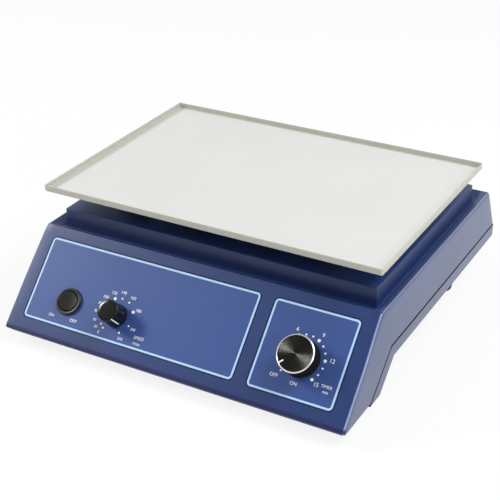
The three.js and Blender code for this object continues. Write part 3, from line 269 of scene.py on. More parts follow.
class Tree:
    """The node tree of a material or a world, emptied."""

    def __init__(self, owner):
        owner.use_nodes = True
        self.nodes = owner.node_tree.nodes
        self.links = owner.node_tree.links
        self.nodes.clear()

    def feed(self, socket, value):
        """A constant on a socket, or a link into it."""
        if isinstance(value, Signal):
            self.links.new(value.socket, socket)
        else:
            socket.default_value = value

    def node(self, kind, inputs=None, settings=None):
        """Adds a node: its settings first, then the values or signals of its sockets."""
        node = self.nodes.new(kind)
        for key, value in (settings or {}).items():
            setattr(node, key, value)
        for key, value in (inputs or {}).items():
            self.feed(node.inputs[key], value)
        return node

    def signal(self, kind, inputs=None, settings=None, output=0):
        """Adds a node and gives one of its outputs."""
        return Signal(self, self.node(kind, inputs, settings).outputs[output])


class Finish(Tree):
    """One material: a Principled shader and what feeds it."""

    def __init__(self, name, colour, roughness, metallic=0.0, **constants):
        self.material = bpy.data.materials.new(name)
        super().__init__(self.material)
        self.shader = self.node("ShaderNodeBsdfPrincipled")
        self.node("ShaderNodeOutputMaterial", {"Surface": Signal(self, self.shader.outputs[0])})
        self.colour = (*colour, 1)
        self.set("Base Color", self.colour)
        self.set("Roughness", roughness)
        self.set("Metallic", metallic)
        for socket, value in constants.items():
            self.set(socket.replace("_", " "), value)
        self.place = self.signal("ShaderNodeTexCoord", output="Object")

    def set(self, socket, value):
        """A constant or a signal on one of the shader's sockets."""
        self.feed(self.shader.inputs[socket], value)

    def along(self, axis):
        """The place along X, Y or Z, in metres."""
        return self.signal("ShaderNodeSeparateXYZ", {"Vector": self.place}, output=axis)

    def noise(self, size, detail=2.0):
        """Noise from 0 to 1 whose lumps are about `size` metres across."""
        inputs = {"Vector": self.place, "Scale": 1 / size, "Detail": detail, "Roughness": 0.5}
        return self.signal("ShaderNodeTexNoise", inputs, output="Fac")

    def bump(self, height, distance, strength=1.0):
        """Bumps of `distance` metres where the height signal is 1."""
        inputs = {"Height": height, "Distance": distance, "Strength": strength}
        self.set("Normal", self.signal("ShaderNodeBump", inputs, output="Normal"))


def tinted(finish, amount, other):
    """The finish's colour so far, mixed towards another colour where the signal is 1.

    A Mix node's colour sockets share their names with its number sockets, so they are found by type."""
    mix = finish.node("ShaderNodeMix", None, {"data_type": "RGBA"})
    factor = next(socket for socket in mix.inputs if socket.type == "VALUE")
    first, second = (socket for socket in mix.inputs if socket.type == "RGBA")
    result = next(socket for socket in mix.outputs if socket.type == "RGBA")
    finish.feed(factor, amount)
    finish.feed(first, finish.colour)
    finish.feed(second, (*other, 1))
    finish.colour = Signal(finish, result)
    finish.set("Base Color", finish.colour)


print("node helpers: Signal, Tree, Finish and tinted")

# %% [markdown]
# The shells are moulded in a mid blue with a fine grain, a bump about a third of a millimetre
# across that softens highlights. A slow change of tone keeps the large walls from looking
# like a flat fill. The real lamps are unknown, so some of their light and shade is painted
# into the colour: painted light on the side walls and ledges, a painted highlight on the
# panel's right edge, and painted shade as dark lines at the nose, the seam, the pockets and
# on the rounded edges next to the side walls, and on the gutter and the plinth's walls under
# the tray. Each is a product of soft steps in space.

# %% The housing's blue
BROAD = (0.3, 0.7)


def in_seam(y, z):
    """1 in the seam's gap: near a line that runs level, then down to the toe."""
    above = z - SEAM_LINE
    in_front = (z - CHIN) * math.cos(seam_slope) - (y - FRONT - SEAM_FOOT) * math.sin(seam_slope)
    return 1 - above.math("MAXIMUM", in_front).math("ABSOLUTE").past(SEAM_HALF, 0.35, 0.55)


def in_pocket(x, y, z):
    """1 on the sides and floor of the labels' shallow pockets, which lie in shadow."""
    depth = (y - fold_y) * math.sin(SLOPE) - (z - SHOULDER) * math.cos(SLOPE)
    sunk = depth.past(0, 0.04, 0.12) - depth.past(0, 1, 1.1)
    inside = 1 - x.math("ABSOLUTE").past(LABEL_REACH, 0, 1)
    return sunk * inside * (1 - y.past(fold_y, -6, -5)) * z.past(NOSE, 2, 3)


def moulded_blue():
    """Blue plastic; `reach` is the distance from the middle plane, with the walls' lean undone."""
    made = Finish("moulded blue", (0.014, 0.041, 0.165), 0.42)
    x, y, z = (made.along(axis) for axis in "XYZ")
    lean = z.step(SEAM, SHOULDER) * SHOULDER_IN
    reach = x.math("ABSOLUTE") + lean
    flank, near_wall = reach.past(HALF_WIDTH, -0.5, -0.2), reach.past(HALF_WIDTH, -9, -7)
    within, behind_fold = 1 - flank, y.past(fold_y, 1, 2)
    rearward = y.past(0, -100, 140) * 0.45 + 0.55
    ledge = z.past(GUTTER, 0, 2) * near_wall * behind_fold * within * rearward
    on_panel_edge = 1 - z.past(SHOULDER, -1.5, -0.8)
    right_edge = (x + lean).past(HALF_WIDTH - CORNER, -0.3, 0.3)
    gleam = right_edge * on_panel_edge * within * 0.85
    # Painted shade: a dark band on the rounded edges just before the side walls.
    dark_line = reach.past(HALF_WIDTH, -0.8, -0.5) * within * on_panel_edge * 0.8
    # Painted shade on the gutter's inner side and the plinth's walls, under the tray.
    sunk = behind_fold * (1 - near_wall) * (1 - z.past(PLINTH, -1, 0)) * z.past(GUTTER, 2, 3) * 0.5
    nose_line = (z.past(NOSE, -0.2, 0.2) - z.past(NOSE, 2.2, 3.2)) * (1 - y.past(FRONT, 4, 5)) * 0.9
    seam = in_seam(y, z)
    tone = made.noise(60 * MM, 1.0).step(*BROAD) * 0.12
    # The tints below paint light and shade, except the slow tone that is mixed into the last one.
    tinted(made, ledge, (0.095, 0.115, 0.235))
    tinted(made, flank, (0.064, 0.093, 0.204))
    tinted(made, gleam, (0.380, 0.450, 0.700))
    tinted(made, dark_line, (0.006, 0.014, 0.050))
    tinted(made, sunk, (0.003, 0.008, 0.040))
    tinted(made, nose_line, (0.010, 0.012, 0.085))
    tinted(made, tone + seam + in_pocket(x, y, z) * 0.75, (0.001, 0.001, 0.002))
    made.set("Roughness", made.noise(25 * MM) * 0.06 + seam * 0.5 - right_edge * 0.2 + 0.38)
    made.bump(made.noise(0.35 * MM, 1.0), 0.012 * MM, 0.5)
    return made.material


housing_blue = moulded_blue()
print(housing_blue.name, "has", len(housing_blue.node_tree.nodes), "nodes")

# %% [markdown]
# Most other finishes are one colour that noise varies in three ways: its tone, its roughness
# and a fine bump. One function makes them all. The tray's paint carries painted shade: darker
# on its walls, and a painted shadow at the foot of its rim. Bare metal has fine scratches, from
# noise squeezed along one axis.

# %% Plastics, paint, metal and rubber
def dimmed(colour, share):
    """The colour times a share."""
    return tuple(share * c for c in colour)


def varied(name, colour, roughness, other, tone, sheen, grain, **constants):
    """A finish with noise in its tone, its roughness and its surface.

    Tone (size, detail, ramp, share) mixes in the other colour, sheen (size, span, lowest) sets
    the roughness, and grain (size, detail, depth, strength) is the bump."""
    made = Finish(name, colour, roughness, **constants)
    size, detail, between, share = tone
    tinted(made, made.noise(size, detail).step(*between) * share, other)
    if sheen:
        size, span, lowest = sheen
        made.set("Roughness", made.noise(size) * span + lowest)
    size, detail, depth, strength = grain
    made.bump(made.noise(size, detail), depth, strength)
    return made.material


def ink(name, colour):
    """Screen-printed ink."""
    return varied(name, colour, 0.5, dimmed(colour, 0.9), (2 * MM, 2.0, (0.35, 0.65), 0.3), None,
                  (0.3 * MM, 1.0, 0.004 * MM, 0.4))


def painted(name, colour, roughness):
    """Sprayed paint or a coated board."""
    return varied(name, colour, roughness, dimmed(colour, 0.8), (10 * MM, 2.0, BROAD, 0.4),
                  (4 * MM, 0.1, roughness - 0.05), (0.6 * MM, 2.0, 0.015 * MM, 0.4))


def tray_paint():
    """Off-white paint with painted shade on the walls and at the rim's foot; `inset` is the distance from the
    nearest of the tray's four sides.
    """
    made = Finish("tray paint", (0.660, 0.664, 0.650), 0.55)
    low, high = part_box("tray")
    inset_x, inset_y = ((top - bottom) / 2 - (made.along(axis) - (bottom + top) / 2).math("ABSOLUTE")
                        for axis, bottom, top in zip("XY", low, high))
    inset = inset_x.math("MINIMUM", inset_y)
    # Painted shade: the walls, and a painted shadow on the floor at their foot.
    foot = 1 - inset.past(0, 1.6, 4.4)
    shade = made.along("Z").past(low.z, 1.2, 2).math("MAXIMUM", foot * 0.85)
    tinted(made, shade + made.noise(45 * MM).step(*BROAD) * 0.1, (0.500, 0.500, 0.430))
    made.set("Roughness", made.noise(6 * MM) * 0.1 + 0.5)
    made.bump(made.noise(0.9 * MM), 0.02 * MM, 0.35)
    return made.material


def bare_metal(name, colour, roughness, stretch=(1, 1, 30)):
    """Metal with fine scratches: noise squeezed along one way makes lines along the other."""
    made = Finish(name, colour, roughness, 1.0)
    squeezed = made.signal("ShaderNodeMapping", {"Vector": made.place, "Scale": stretch})
    lines = {"Vector": squeezed, "Scale": 1 / (4 * MM), "Detail": 3.0, "Roughness": 0.6}
    scratch = made.signal("ShaderNodeTexNoise", lines, output="Fac")
    made.set("Roughness", scratch * 0.2 + (roughness - 0.1))
    tinted(made, scratch.step(0.4, 0.7) * 0.4, dimmed(colour, 0.85))
    made.bump(scratch, 0.01 * MM, 0.4)
    return made.material


label_blue = varied("label blue", (0.034, 0.076, 0.268), 0.40, (0.040, 0.085, 0.285),
                    (40 * MM, 1.0, BROAD, 0.4), (12 * MM, 0.06, 0.40), (0.2 * MM, 1.0, 0.006 * MM, 0.5))
black_gloss = varied("glossy black", (0.006, 0.006, 0.006), 0.18, (0.009, 0.009, 0.010),
                     (8 * MM, 1.0, BROAD, 0.5), (3 * MM, 0.06, 0.15), (0.4 * MM, 1.0, 0.003 * MM, 0.4),
                     Specular_IOR_Level=0.4)
black_satin = varied("satin black", (0.008, 0.008, 0.009), 0.40, (0.011, 0.011, 0.012),
                     (5 * MM, 1.0, BROAD, 0.5), (2 * MM, 0.1, 0.36), (0.25 * MM, 1.0, 0.006 * MM, 0.5))
rubber = varied("black rubber", (0.014, 0.014, 0.014), 0.8, (0.022, 0.022, 0.021),
                (4 * MM, 2.0, (0.4, 0.7), 0.5), (1.5 * MM, 0.12, 0.74), (0.5 * MM, 2.0, 0.02 * MM, 0.5))
white_ink = ink("white ink", (0.93, 0.96, 0.98))
line_ink = ink("light blue ink", (0.45, 0.68, 0.94))
finishes = {
    "housing_blue": housing_blue,
    "label_blue": label_blue,
    "tray_white": tray_paint(),
    "black_plastic": black_gloss,
    "black_spun_metal": bare_metal("black anodised", (0.03, 0.03, 0.033), 0.35),
    "rubber": rubber,
    "steel": bare_metal("zinc-plated steel", (0.55, 0.56, 0.57), 0.35),
    "aluminium": bare_metal("turned aluminium", (0.60, 0.61, 0.62), 0.4),
    "brass": bare_metal("turned brass", (0.55, 0.40, 0.16), 0.35),
    "motor_grey": painted("motor grey", (0.10, 0.105, 0.11), 0.5),
    "board_green": painted("board green", (0.02, 0.12, 0.05), 0.4),
}
for part in frame["record"]["subparts"]:
    node = frame["nodes"][part["node"]]
    node.data.materials.clear()
    node.data.materials.append(finishes[part["material_slot"]])
print(len(finishes), "finishes on", len(frame["nodes"]), "nodes")

# %% [markdown]
# Every piece is handed over in the same way, so that the joints can move it.

# %% Handing a piece to its body
def hand_over(piece, body, material, instead_of=()):
    """The piece takes the material, rides on the body and stands for the nodes."""
    piece.data.materials.append(material)
    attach(piece, body)
    if instead_of:
        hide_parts(*instead_of)
    print(piece.name, "rides on", body, "with", len(piece.data.polygons), "faces")


# %% [markdown]
# The upper shell is one closed skin: its inside, its lower edge, its walls, the gutter that
# catches spills and the plinth under the tray. Seen from above, every level of it is a
# rounded rectangle, so every row is one, and only four numbers and the height change. The
# columns are a table of eight runs, one for each wall and each corner.

# %% Columns round a rounded rectangle
FRONT_STEPS = 40
BEND_STEPS = 6


def spread(start, end, count):
    """`count` even steps from start, without the end."""
    return np.linspace(start, end, count, endpoint=False)


def front_at(z):
    """The front wall's y: chin below the nose, sloping panel above, with a soft turn between."""
    chin = FRONT + CHIN_BACK - (z - CHIN) * CHIN_BACK / (NOSE - CHIN)
    slope = FRONT + (z - NOSE) / math.tan(SLOPE)
    return (chin + slope) / 2 + np.sqrt(((chin - slope) / 2) ** 2 + NOSE_SOFTNESS ** 2)


def rear_at(z):
    """The rear wall's y, which leans in towards the shoulder."""
    return REAR - REAR_BACK + (SHOULDER - z) * REAR_SLANT


def half_at(z):
    """Half the width at a height: upright below the seam, leaning in a little above it."""
    return HALF_WIDTH - SHOULDER_IN * np.clip((z - SEAM) / (SHOULDER - SEAM), 0, 1)


def share_along(y, z):
    """How far along a side wall a point is, from the front corner's end to the rear one's start."""
    start = front_at(z) + CORNER
    return (y - start) / (rear_at(z) - CORNER - start)


along_foot = share_along(SEAM_FOOT_Y, CHIN)
along_turn = share_along(SEAM_TURN_Y, SEAM)
side_flat = spread(0, along_foot, 8)
side_slope = spread(0, 1, 8)
side_rear = spread(along_turn, 1, 30)
slope_y = SEAM_FOOT_Y + side_slope * (SEAM_TURN_Y - SEAM_FOOT_Y)
slope_z = CHIN + side_slope * (SEAM - CHIN)
side_along = np.concatenate([side_flat, share_along(slope_y, slope_z), side_rear])
side_edge = np.concatenate([np.full(len(side_flat), CHIN), slope_z, np.full(len(side_rear), SEAM)])

bend = spread(0, 1, BEND_STEPS)
front_across = spread(-1, 1, FRONT_STEPS)
# Each run, anticlockwise from the front: (across, along, quarter turns, lower edge).
runs = [
    (front_across, 0, -1, CHIN), (1, 0, bend - 1, CHIN),
    (1, side_along, 0, side_edge), (1, 1, bend, SEAM),
    (-front_across, 1, 1, SEAM), (-1, 1, bend + 1, SEAM),
    (-1, np.append(1, side_along[:0:-1]), 2, np.append(SEAM, side_edge[:0:-1])), (-1, 0, bend + 2, CHIN),
]
across, along, quarters, edge = np.concatenate([np.stack(np.broadcast_arrays(*run)) for run in runs], 1)
turn = quarters * math.pi / 2
print(len(across), "columns round the shell")


def rectangle(half, front, rear, radius, z):
    """One row: x is across * (half - radius) + radius * cos(turn); y goes along likewise."""
    x = across * (half - radius) + radius * np.cos(turn)
    y = front + radius + along * (rear - front - 2 * radius) + radius * np.sin(turn)
    return np.stack([x, y, np.broadcast_to(z, x.shape)], -1)


# %% [markdown]
# Above the wall the profile differs at the front, the sides and the rear, because the gutter
# is not equally wide. So each row has three places and three heights, and a column takes
# those of the wall that it faces. In a corner they blend by the squares of cosine and sine.

# %% The profile over the shoulder, gutter and plinth
def unit(way):
    """The direction of a vector."""
    return way / np.linalg.norm(way)


def rounded_corner(before, corner, after, radius, steps=5):
    """Points of the arc of that radius that touches both lines that meet in `corner`."""
    before, corner, after = (np.asarray(p, float) for p in (before, corner, after))
    back, ahead = unit(before - corner), unit(after - corner)
    half = math.acos(np.clip(back @ ahead, -1, 1)) / 2
    middle = unit(back + ahead)
    centre = corner + middle * radius / math.sin(half)
    start, end = (corner + way * radius / math.tan(half) - centre for way in (back, ahead))
    share = np.linspace(0, 1, steps + 1)[:, None]
    angle = math.acos(np.clip(start @ end / radius ** 2, -1, 1))
    return centre + (np.sin((1 - share) * angle) * start + np.sin(share * angle) * end) / math.sin(angle)


def upper_profile(wall, shoulder, gutter_width, ridge_radius):
    """(place, height) from the wall's foot to the plinth's flat top; place counts outwards."""
    gutter = shoulder - gutter_width
    foot, ridge, base = (wall, SEAM), (shoulder, SHOULDER), (gutter, GUTTER)
    top, inner = (gutter - PLINTH_DRAFT, PLINTH), (gutter - PLINTH_DRAFT - 8 * MM, PLINTH)
    return np.vstack([
        rounded_corner(foot, ridge, base, ridge_radius),
        rounded_corner(ridge, base, top, GUTTER_FILLET),
        rounded_corner(base, top, inner, PLINTH_EDGE, 7),
        inner,
    ])


shoulder_half, shoulder_front, shoulder_rear = (float(at(SHOULDER)) for at in (half_at, front_at, rear_at))
side_profile = upper_profile(HALF_WIDTH, shoulder_half, GUTTER_SIDE, SHOULDER_EDGE)
front_profile = upper_profile(-front_at(SEAM), -shoulder_front, GUTTER_FRONT, FRONT_EDGE)
rear_profile = upper_profile(rear_at(SEAM), shoulder_rear, GUTTER_REAR, SHOULDER_EDGE)
facing_side = np.cos(turn) ** 2
facing_front = np.clip(-np.sin(turn), 0, 1) ** 2
facing_rear = np.clip(np.sin(turn), 0, 1) ** 2


def blended(side, front, rear):
    """One value for each column, out of those of the three walls."""
    return facing_side * side + facing_front * front + facing_rear * rear


print(len(side_profile), "profile points over each wall")

# %% [markdown]
# The skin starts at the ceiling inside the plinth, comes down the inside, turns under the
# lower edge and goes up the outside. Its lower edge isn't level: it rises from the toe to the
# seam, so the wall's rows are shares of the way from that edge to the shoulder.

# %% The upper shell
WALL_ROWS = np.concatenate([np.linspace(0, 0.1, 9), np.linspace(0.14, 1, 14)])
INNER_TOP = GUTTER - WALL
PLINTH_ROOM = 6 * MM


def shell_rows():
    """Rows of the skin in order: ceiling of the plinth, inside, lower edge, walls, gutter, plinth top."""
    inner_half = HALF_WIDTH - WALL
    inner_radius = CORNER / 2
    plinth = (shoulder_half - GUTTER_SIDE - PLINTH_ROOM, shoulder_front + GUTTER_FRONT + PLINTH_ROOM,
              shoulder_rear - GUTTER_REAR - PLINTH_ROOM)
    rows = [rectangle(*plinth, CORNER, PLINTH - WALL), rectangle(*plinth, CORNER, INNER_TOP)]
    for share in np.linspace(1, 0, 8):
        z = edge + share * (INNER_TOP - edge)
        front = np.maximum(front_at(z) + WALL / math.sin(SLOPE), FRONT + CHIN_BACK + WALL)
        rows.append(rectangle(inner_half, front, rear_at(z) - WALL, inner_radius, z))
    wall_top = blended(side_profile[0, 1], front_profile[0, 1], rear_profile[0, 1])
    for share in WALL_ROWS[:-1]:
        z = edge + share * (wall_top - edge)
        rows.append(rectangle(half_at(z), front_at(z), rear_at(z), CORNER, z))
    rows_up = np.linspace(0, 1, len(side_profile))
    corners = CORNER + np.clip(3 * rows_up - 1, 0, 1) * (PLINTH_CORNER - CORNER)
    for side, front, rear, corner in zip(side_profile, front_profile, rear_profile, corners):
        z = blended(side[1], front[1], rear[1])
        rows.append(rectangle(side[0], -front[0], rear[0], corner, z))
    return np.stack(rows)


upper_shell = stacked("upper_shell", shell_rows())
print("upper shell before cutting:", len(upper_shell.data.polygons), "faces")

# %% [markdown]
# The real shell has openings: two shallow pockets that take the printed labels, and holes for
# the switch, the two dials, the bearings under the tray and the fittings at the rear. Cutting
# them with a Boolean is simpler than weaving them into the grid. Each cutter is a prism.

# %% Cutting the openings
def prism(name, outline, low, high, place):
    """A closed prism: an (n, 2) outline, anticlockwise, between two heights, put by `place`."""
    x, y, height = np.broadcast_arrays(outline[:, 0], outline[:, 1], [[low], [high]])
    return stacked(name, place(x, y, height))


def rounded_outline(x0, x1, y0, y1, radius, steps=8):
    """Anticlockwise points of a rounded rectangle, from its right upper corner."""
    corners = [(x1 - radius, y1 - radius, 0), (x0 + radius, y1 - radius, 90),
               (x0 + radius, y0 + radius, 180), (x1 - radius, y0 + radius, 270)]
    return np.concatenate([arc((cx, cy), radius, start, start + 90, steps) for cx, cy, start in corners])


def circle(radius, steps=64):
    """Anticlockwise points (radius * cos a, radius * sin a)."""
    angle = even_angles(steps)
    return radius * np.stack([np.cos(angle), np.sin(angle)], -1)


def cut(piece, cutters):
    """Takes the cutters out of the piece, keeps the result as its mesh and deletes the cutters."""
    for cutter in cutters:
        taken = piece.modifiers.new("cut", "BOOLEAN")
        taken.operation = "DIFFERENCE"
        taken.solver = "EXACT"
        taken.object = cutter
    result = mesh_as_seen(piece)
    piece.modifiers.clear()
    piece.data = result
    for cutter in cutters:
        bpy.data.objects.remove(cutter)
    piece.data.set_sharp_from_angle(angle=SMOOTH_ANGLE)


def rear_spot(x0, down0):
    """A place function for a piece whose axis stands out of the leaning rear wall."""
    lean = math.atan(REAR_SLANT)
    sine, cosine = math.sin(lean), math.cos(lean)
    return lambda x, y, height: np.stack([
        x + x0, shoulder_rear + (down0 + y) * sine + height * cosine,
        SHOULDER - (down0 + y) * cosine + height * sine], -1)


CORNERS = ("front_left", "front_right", "rear_left", "rear_right")
CUT = 6 * MM
LABEL_POCKET = 0.8 * MM
LABEL_TOP = 10.5 * MM
LABEL_HEIGHT = 73.98 * MM
LABEL_CORNER = 3.8 * MM
LABEL_GAP = 0.8 * MM
label_boxes = {"left": (-148.3 * MM, 59.15 * MM), "right": (72.2 * MM, 147.1 * MM)}
SWITCH = (-109 * MM, 61.7 * MM)
SPEED = (-60.1 * MM, 61.6 * MM)
TIMER = (109.9 * MM, 51.7 * MM)
SWITCH_HOLE = 10.1 * MM
SPEED_HOLE = 3.8 * MM
TIMER_HOLE = 4.8 * MM
MAIN_HOLE = 18.3 * MM
IDLER_HOLE = 13.3 * MM
GLAND = (112 * MM, 26 * MM, 6.8 * MM)
FUSE = (76 * MM, 26 * MM, 6.3 * MM)


def panel_holes(spots):
    """Round cutters through the panel, from a table of their radii by place."""
    return [prism("hole", circle(radius), -CUT, CUT, panel_spot(*spot)) for spot, radius in spots.items()]


def label_outline(side, inset):
    """The outline of one label on the panel, moved in by `inset` all round."""
    x0, x1 = label_boxes[side]
    return rounded_outline(x0 + inset, x1 - inset, -LABEL_TOP - LABEL_HEIGHT + inset, -LABEL_TOP - inset,
                           LABEL_CORNER - inset)


pockets = [prism("pocket", label_outline(side, -LABEL_GAP), -LABEL_POCKET, CUT, panel_spot(0, 0))
           for side in label_boxes]
holes = panel_holes({SWITCH: SWITCH_HOLE, SPEED: SPEED_HOLE, TIMER: TIMER_HOLE})
bearings = {"main_bearing_housing": MAIN_HOLE}
bearings.update(("idler_bearing_unit_" + corner, IDLER_HOLE) for corner in CORNERS)
holes += [prism("hole", circle(radius), PLINTH - CUT, PLINTH + CUT, above_node(name))
          for name, radius in bearings.items()]
holes += [prism("hole", circle(radius)[::-1], -CUT, CUT, rear_spot(x, down))
          for x, down, radius in (GLAND, FUSE)]
cut(upper_shell, pockets + holes)
hand_over(upper_shell, "housing", housing_blue, ["upper_housing"])

# %% [markdown]
# The two labels are thin printed sheets. Each lies in its pocket, with a light blue line
# printed a little inside its edge. The line is its own thin ring of ink on the sheet. The
# holes for the two dials are wide enough for the nuts, and the knobs are as hollow above.

# %% Labels and their printed lines
LABEL_LOW = -0.5 * MM
LABEL_FACE = 0.0 * MM
INK = 0.04 * MM
LINE_INSET = 0.3 * MM
LINE_WIDTH = 1.65 * MM
SPEED_NUT_ROOM = 5.6 * MM
TIMER_NUT_ROOM = 6.6 * MM
label_holes = {"left": {SWITCH: SWITCH_HOLE, SPEED: SPEED_NUT_ROOM}, "right": {TIMER: TIMER_NUT_ROOM}}


def frame_line(side):
    """A flat closed ring between two outlines, as thick as the ink."""
    outer, inner = label_outline(side, LINE_INSET), label_outline(side, LINE_INSET + LINE_WIDTH)
    top = LABEL_FACE + INK
    loops = [(outer, LABEL_FACE), (outer, top), (inner, top), (inner, LABEL_FACE)]
    grid = np.stack([on_panel(loop[:, 0], -loop[:, 1], out) for loop, out in loops])
    return stacked("label_line_" + side, grid, smooth=False, wrapped=True)


for side, holes in label_holes.items():
    sheet = prism("label_sheet_" + side, label_outline(side, 0), LABEL_LOW, LABEL_FACE, panel_spot(0, 0))
    cut(sheet, panel_holes(holes))
    hand_over(sheet, "housing", label_blue, ["label_" + side])
    hand_over(frame_line(side), "housing", line_ink)

# %% [markdown]
# Numbers, plain words and the dots of both dials are screen printed. Blender's own letter
# shapes become meshes, scaled to the width that each word has and laid on the panel.

# %% Printed words and dots
def lettering(words, x, down, width):
    """The words as a thin closed mesh centred at (x, down) on the panel, as wide as `width`."""
    curve = bpy.data.curves.new("words", "FONT")
    curve.body = words
    curve.extrude = 1
    drawn = in_scene("words", curve)
    mesh = mesh_as_seen(drawn)
    bpy.data.objects.remove(drawn)
    flat = np.zeros(len(mesh.vertices) * 3)
    mesh.vertices.foreach_get("co", flat)
    flat, above = flat.reshape(-1, 3)[:, :2], flat[2::3] > 0
    low, high = flat.min(0), flat.max(0)
    flat = (flat - (low + high) / 2) * width / (high[0] - low[0])
    points = on_panel(flat[:, 0] + x, down - flat[:, 1], LABEL_FACE + above * INK)
    faces = [list(face.vertices) for face in mesh.polygons]
    return points, faces


def placed_words(table):
    """The lettering of a table of words, each with its middle and its width in millimetres."""
    return [lettering(text, *(value * MM for value in place)) for text, place in table.items()]


def printed(name, parts):
    """Joins several (points, faces) pairs into one piece of ink that rides on the housing."""
    points = np.concatenate([p for p, _ in parts])
    starts = np.cumsum([0] + [len(p) for p, _ in parts])
    faces = [[int(start) + i for i in face] for start, (_, group) in zip(starts, parts) for face in group]
    hand_over(finish_mesh(name, points, faces, False), "housing", white_ink)


def round_dial(spot, radius, degrees):
    """The place on the panel at an angle round a dial, anticlockwise from the right."""
    angle = math.radians(degrees)
    return spot[0] + radius * math.cos(angle), spot[1] - radius * math.sin(angle)


def dots(spot, ring, marks, main):
    """A closed disc of ink for each mark of a dial, bigger at the main values."""
    made = []
    for value, degrees in marks.items():
        x, down = round_dial(spot, ring, degrees)
        disc = circle(BIG_DOT if value in main else SMALL_DOT, DOT_STEPS)
        layers = [on_panel(disc[:, 0] + x, down - disc[:, 1], LABEL_FACE + lift) for lift in (0, INK)]
        made.append((np.concatenate(layers), grid_faces(2, DOT_STEPS)))
    return made


DOT_STEPS = 24
SMALL_DOT = 0.85 * MM
BIG_DOT = 1.35 * MM
DIGIT = 1.6 * MM
SPEED_RING = 15.3 * MM
SPEED_NUMBERS = 20.6 * MM
speed_marks = {0: -123, 20: -139, 40: -157, 60: -179, 80: 161, 100: 141, 120: 118, 140: 92.2, 160: 62.8,
               180: 26.4, 200: -20.2, 210: -58.2}
speed_words = {"ON": (-121.4, 76.6, 5.2), "OFF": (-98.4, 76.4, 6.8), "SPEED": (-32.4, 74.2, 9.6),
               "r/min": (-33.1, 79.2, 7)}
numbers = [lettering(str(value), *round_dial(SPEED, SPEED_NUMBERS, degrees), DIGIT * len(str(value)))
           for value, degrees in speed_marks.items()]
printed("speed_print", placed_words(speed_words) + numbers + dots(SPEED, SPEED_RING, speed_marks, (120, 180)))

TIMER_RING = 19.2 * MM
TIMER_ZERO = 225
MINUTE_TURN = 18
timer_marks = {minute: TIMER_ZERO - MINUTE_TURN * minute for minute in range(16)}
timer_words = {"6": (98.7, 30.2, 1.9), "9": (120.9, 29.6, 1.9), "12": (134.7, 47.1, 3.7),
               "15": (128.2, 67.9, 3.5), "OFF": (92, 69.9, 7), "ON": (109.9, 72.2, 5.9),
               "TIMER": (136.9, 67.4, 9.6), "min": (137, 71.6, 4.8)}
printed("timer_print", placed_words(timer_words) + dots(TIMER, TIMER_RING, timer_marks, range(3, 16, 3)))

# %% [markdown]
# The power switch is a round rocker. Its bezel stands on the label, and the rocker rests with
# its left side up, which is OFF. The rocker's top is slightly hollow, as a fingertip is round.

# %% Power switch
BEZEL = 12 * MM
BEZEL_RISE = 2.3 * MM
BEZEL_FOOT = 0.3 * MM
FOOT_ROUND = 0.4 * MM
RIM_ROUND = 1.1 * MM
WELL = 8.9 * MM
WELL_FLOOR = -4.3 * MM
WELL_ROUND = 0.3 * MM
WELL_FILLET = 0.2 * MM
SWITCH_BACK = -20 * MM
SWITCH_BODY = 9.8 * MM
SWITCH_CORE = 0.5 * MM
bezel_profile = np.vstack([
    [[SWITCH_CORE, SWITCH_BACK], [SWITCH_BODY, SWITCH_BACK], [SWITCH_BODY, BEZEL_FOOT],
     [BEZEL - BEZEL_FOOT, BEZEL_FOOT]],
    arc((BEZEL - FOOT_ROUND, BEZEL_FOOT + FOOT_ROUND), FOOT_ROUND, -90, 0, 3),
    arc((BEZEL - RIM_ROUND, BEZEL_RISE - RIM_ROUND), RIM_ROUND, 0, 90, 6),
    [[BEZEL - 2 * MM, BEZEL_RISE - 0.15 * MM]],
    arc((WELL + WELL_ROUND, BEZEL_RISE - 0.8 * MM), WELL_ROUND, 90, 180, 3),
    [[WELL, WELL_FLOOR + WELL_FILLET], [WELL - WELL_FILLET, WELL_FLOOR], [SWITCH_CORE, WELL_FLOOR]],
])
bezel = turned("switch_bezel", bezel_profile, panel_spot(*SWITCH))
hand_over(bezel, "housing", black_satin, ["power_switch_body"])

ROCKER = 8.2 * MM
ROCKER_TOP = 3.3 * MM
ROCKER_DISH = 0.9 * MM
ROCKER_EDGE = 0.6 * MM
ROCKER_BASE = -2 * MM
ROCKER_TILT = math.radians(11)
ROCKER_RIM = ROCKER_TOP - ROCKER_EDGE


def dished_and_tilted(x, y, height):
    """Adds DISH * (x / ROCKER) squared to the height above the base, then turns x and height by TILT."""
    height = height + np.where(height > ROCKER_BASE, ROCKER_DISH * (x / ROCKER) ** 2, 0)
    tilted_x = x * math.cos(ROCKER_TILT) + height * math.sin(ROCKER_TILT)
    tilted = height * math.cos(ROCKER_TILT) - x * math.sin(ROCKER_TILT)
    return panel_spot(*SWITCH)(tilted_x, y, tilted)


rocker_profile = np.vstack([
    [[SWITCH_CORE, ROCKER_BASE], [ROCKER, ROCKER_BASE], [ROCKER, ROCKER_RIM]],
    arc((ROCKER - ROCKER_EDGE, ROCKER_RIM), ROCKER_EDGE, 0, 90, 5)[1:],
    [[share * (ROCKER - ROCKER_EDGE), ROCKER_TOP] for share in np.linspace(0.95, 0.06, 14)],
])
rocker = turned("switch_rocker", rocker_profile, dished_and_tilted, 72)
hand_over(rocker, "power_rocker", black_satin, ["power_switch_rocker"])

# %% [markdown]
# The speed knob is a tall glossy cap with a white line down its side. Its face falls off in
# a flat bevel to a small rounded rim, and both catch the lamps. It points just short of the
# top speed. The knob is hollow underneath, over its nut.

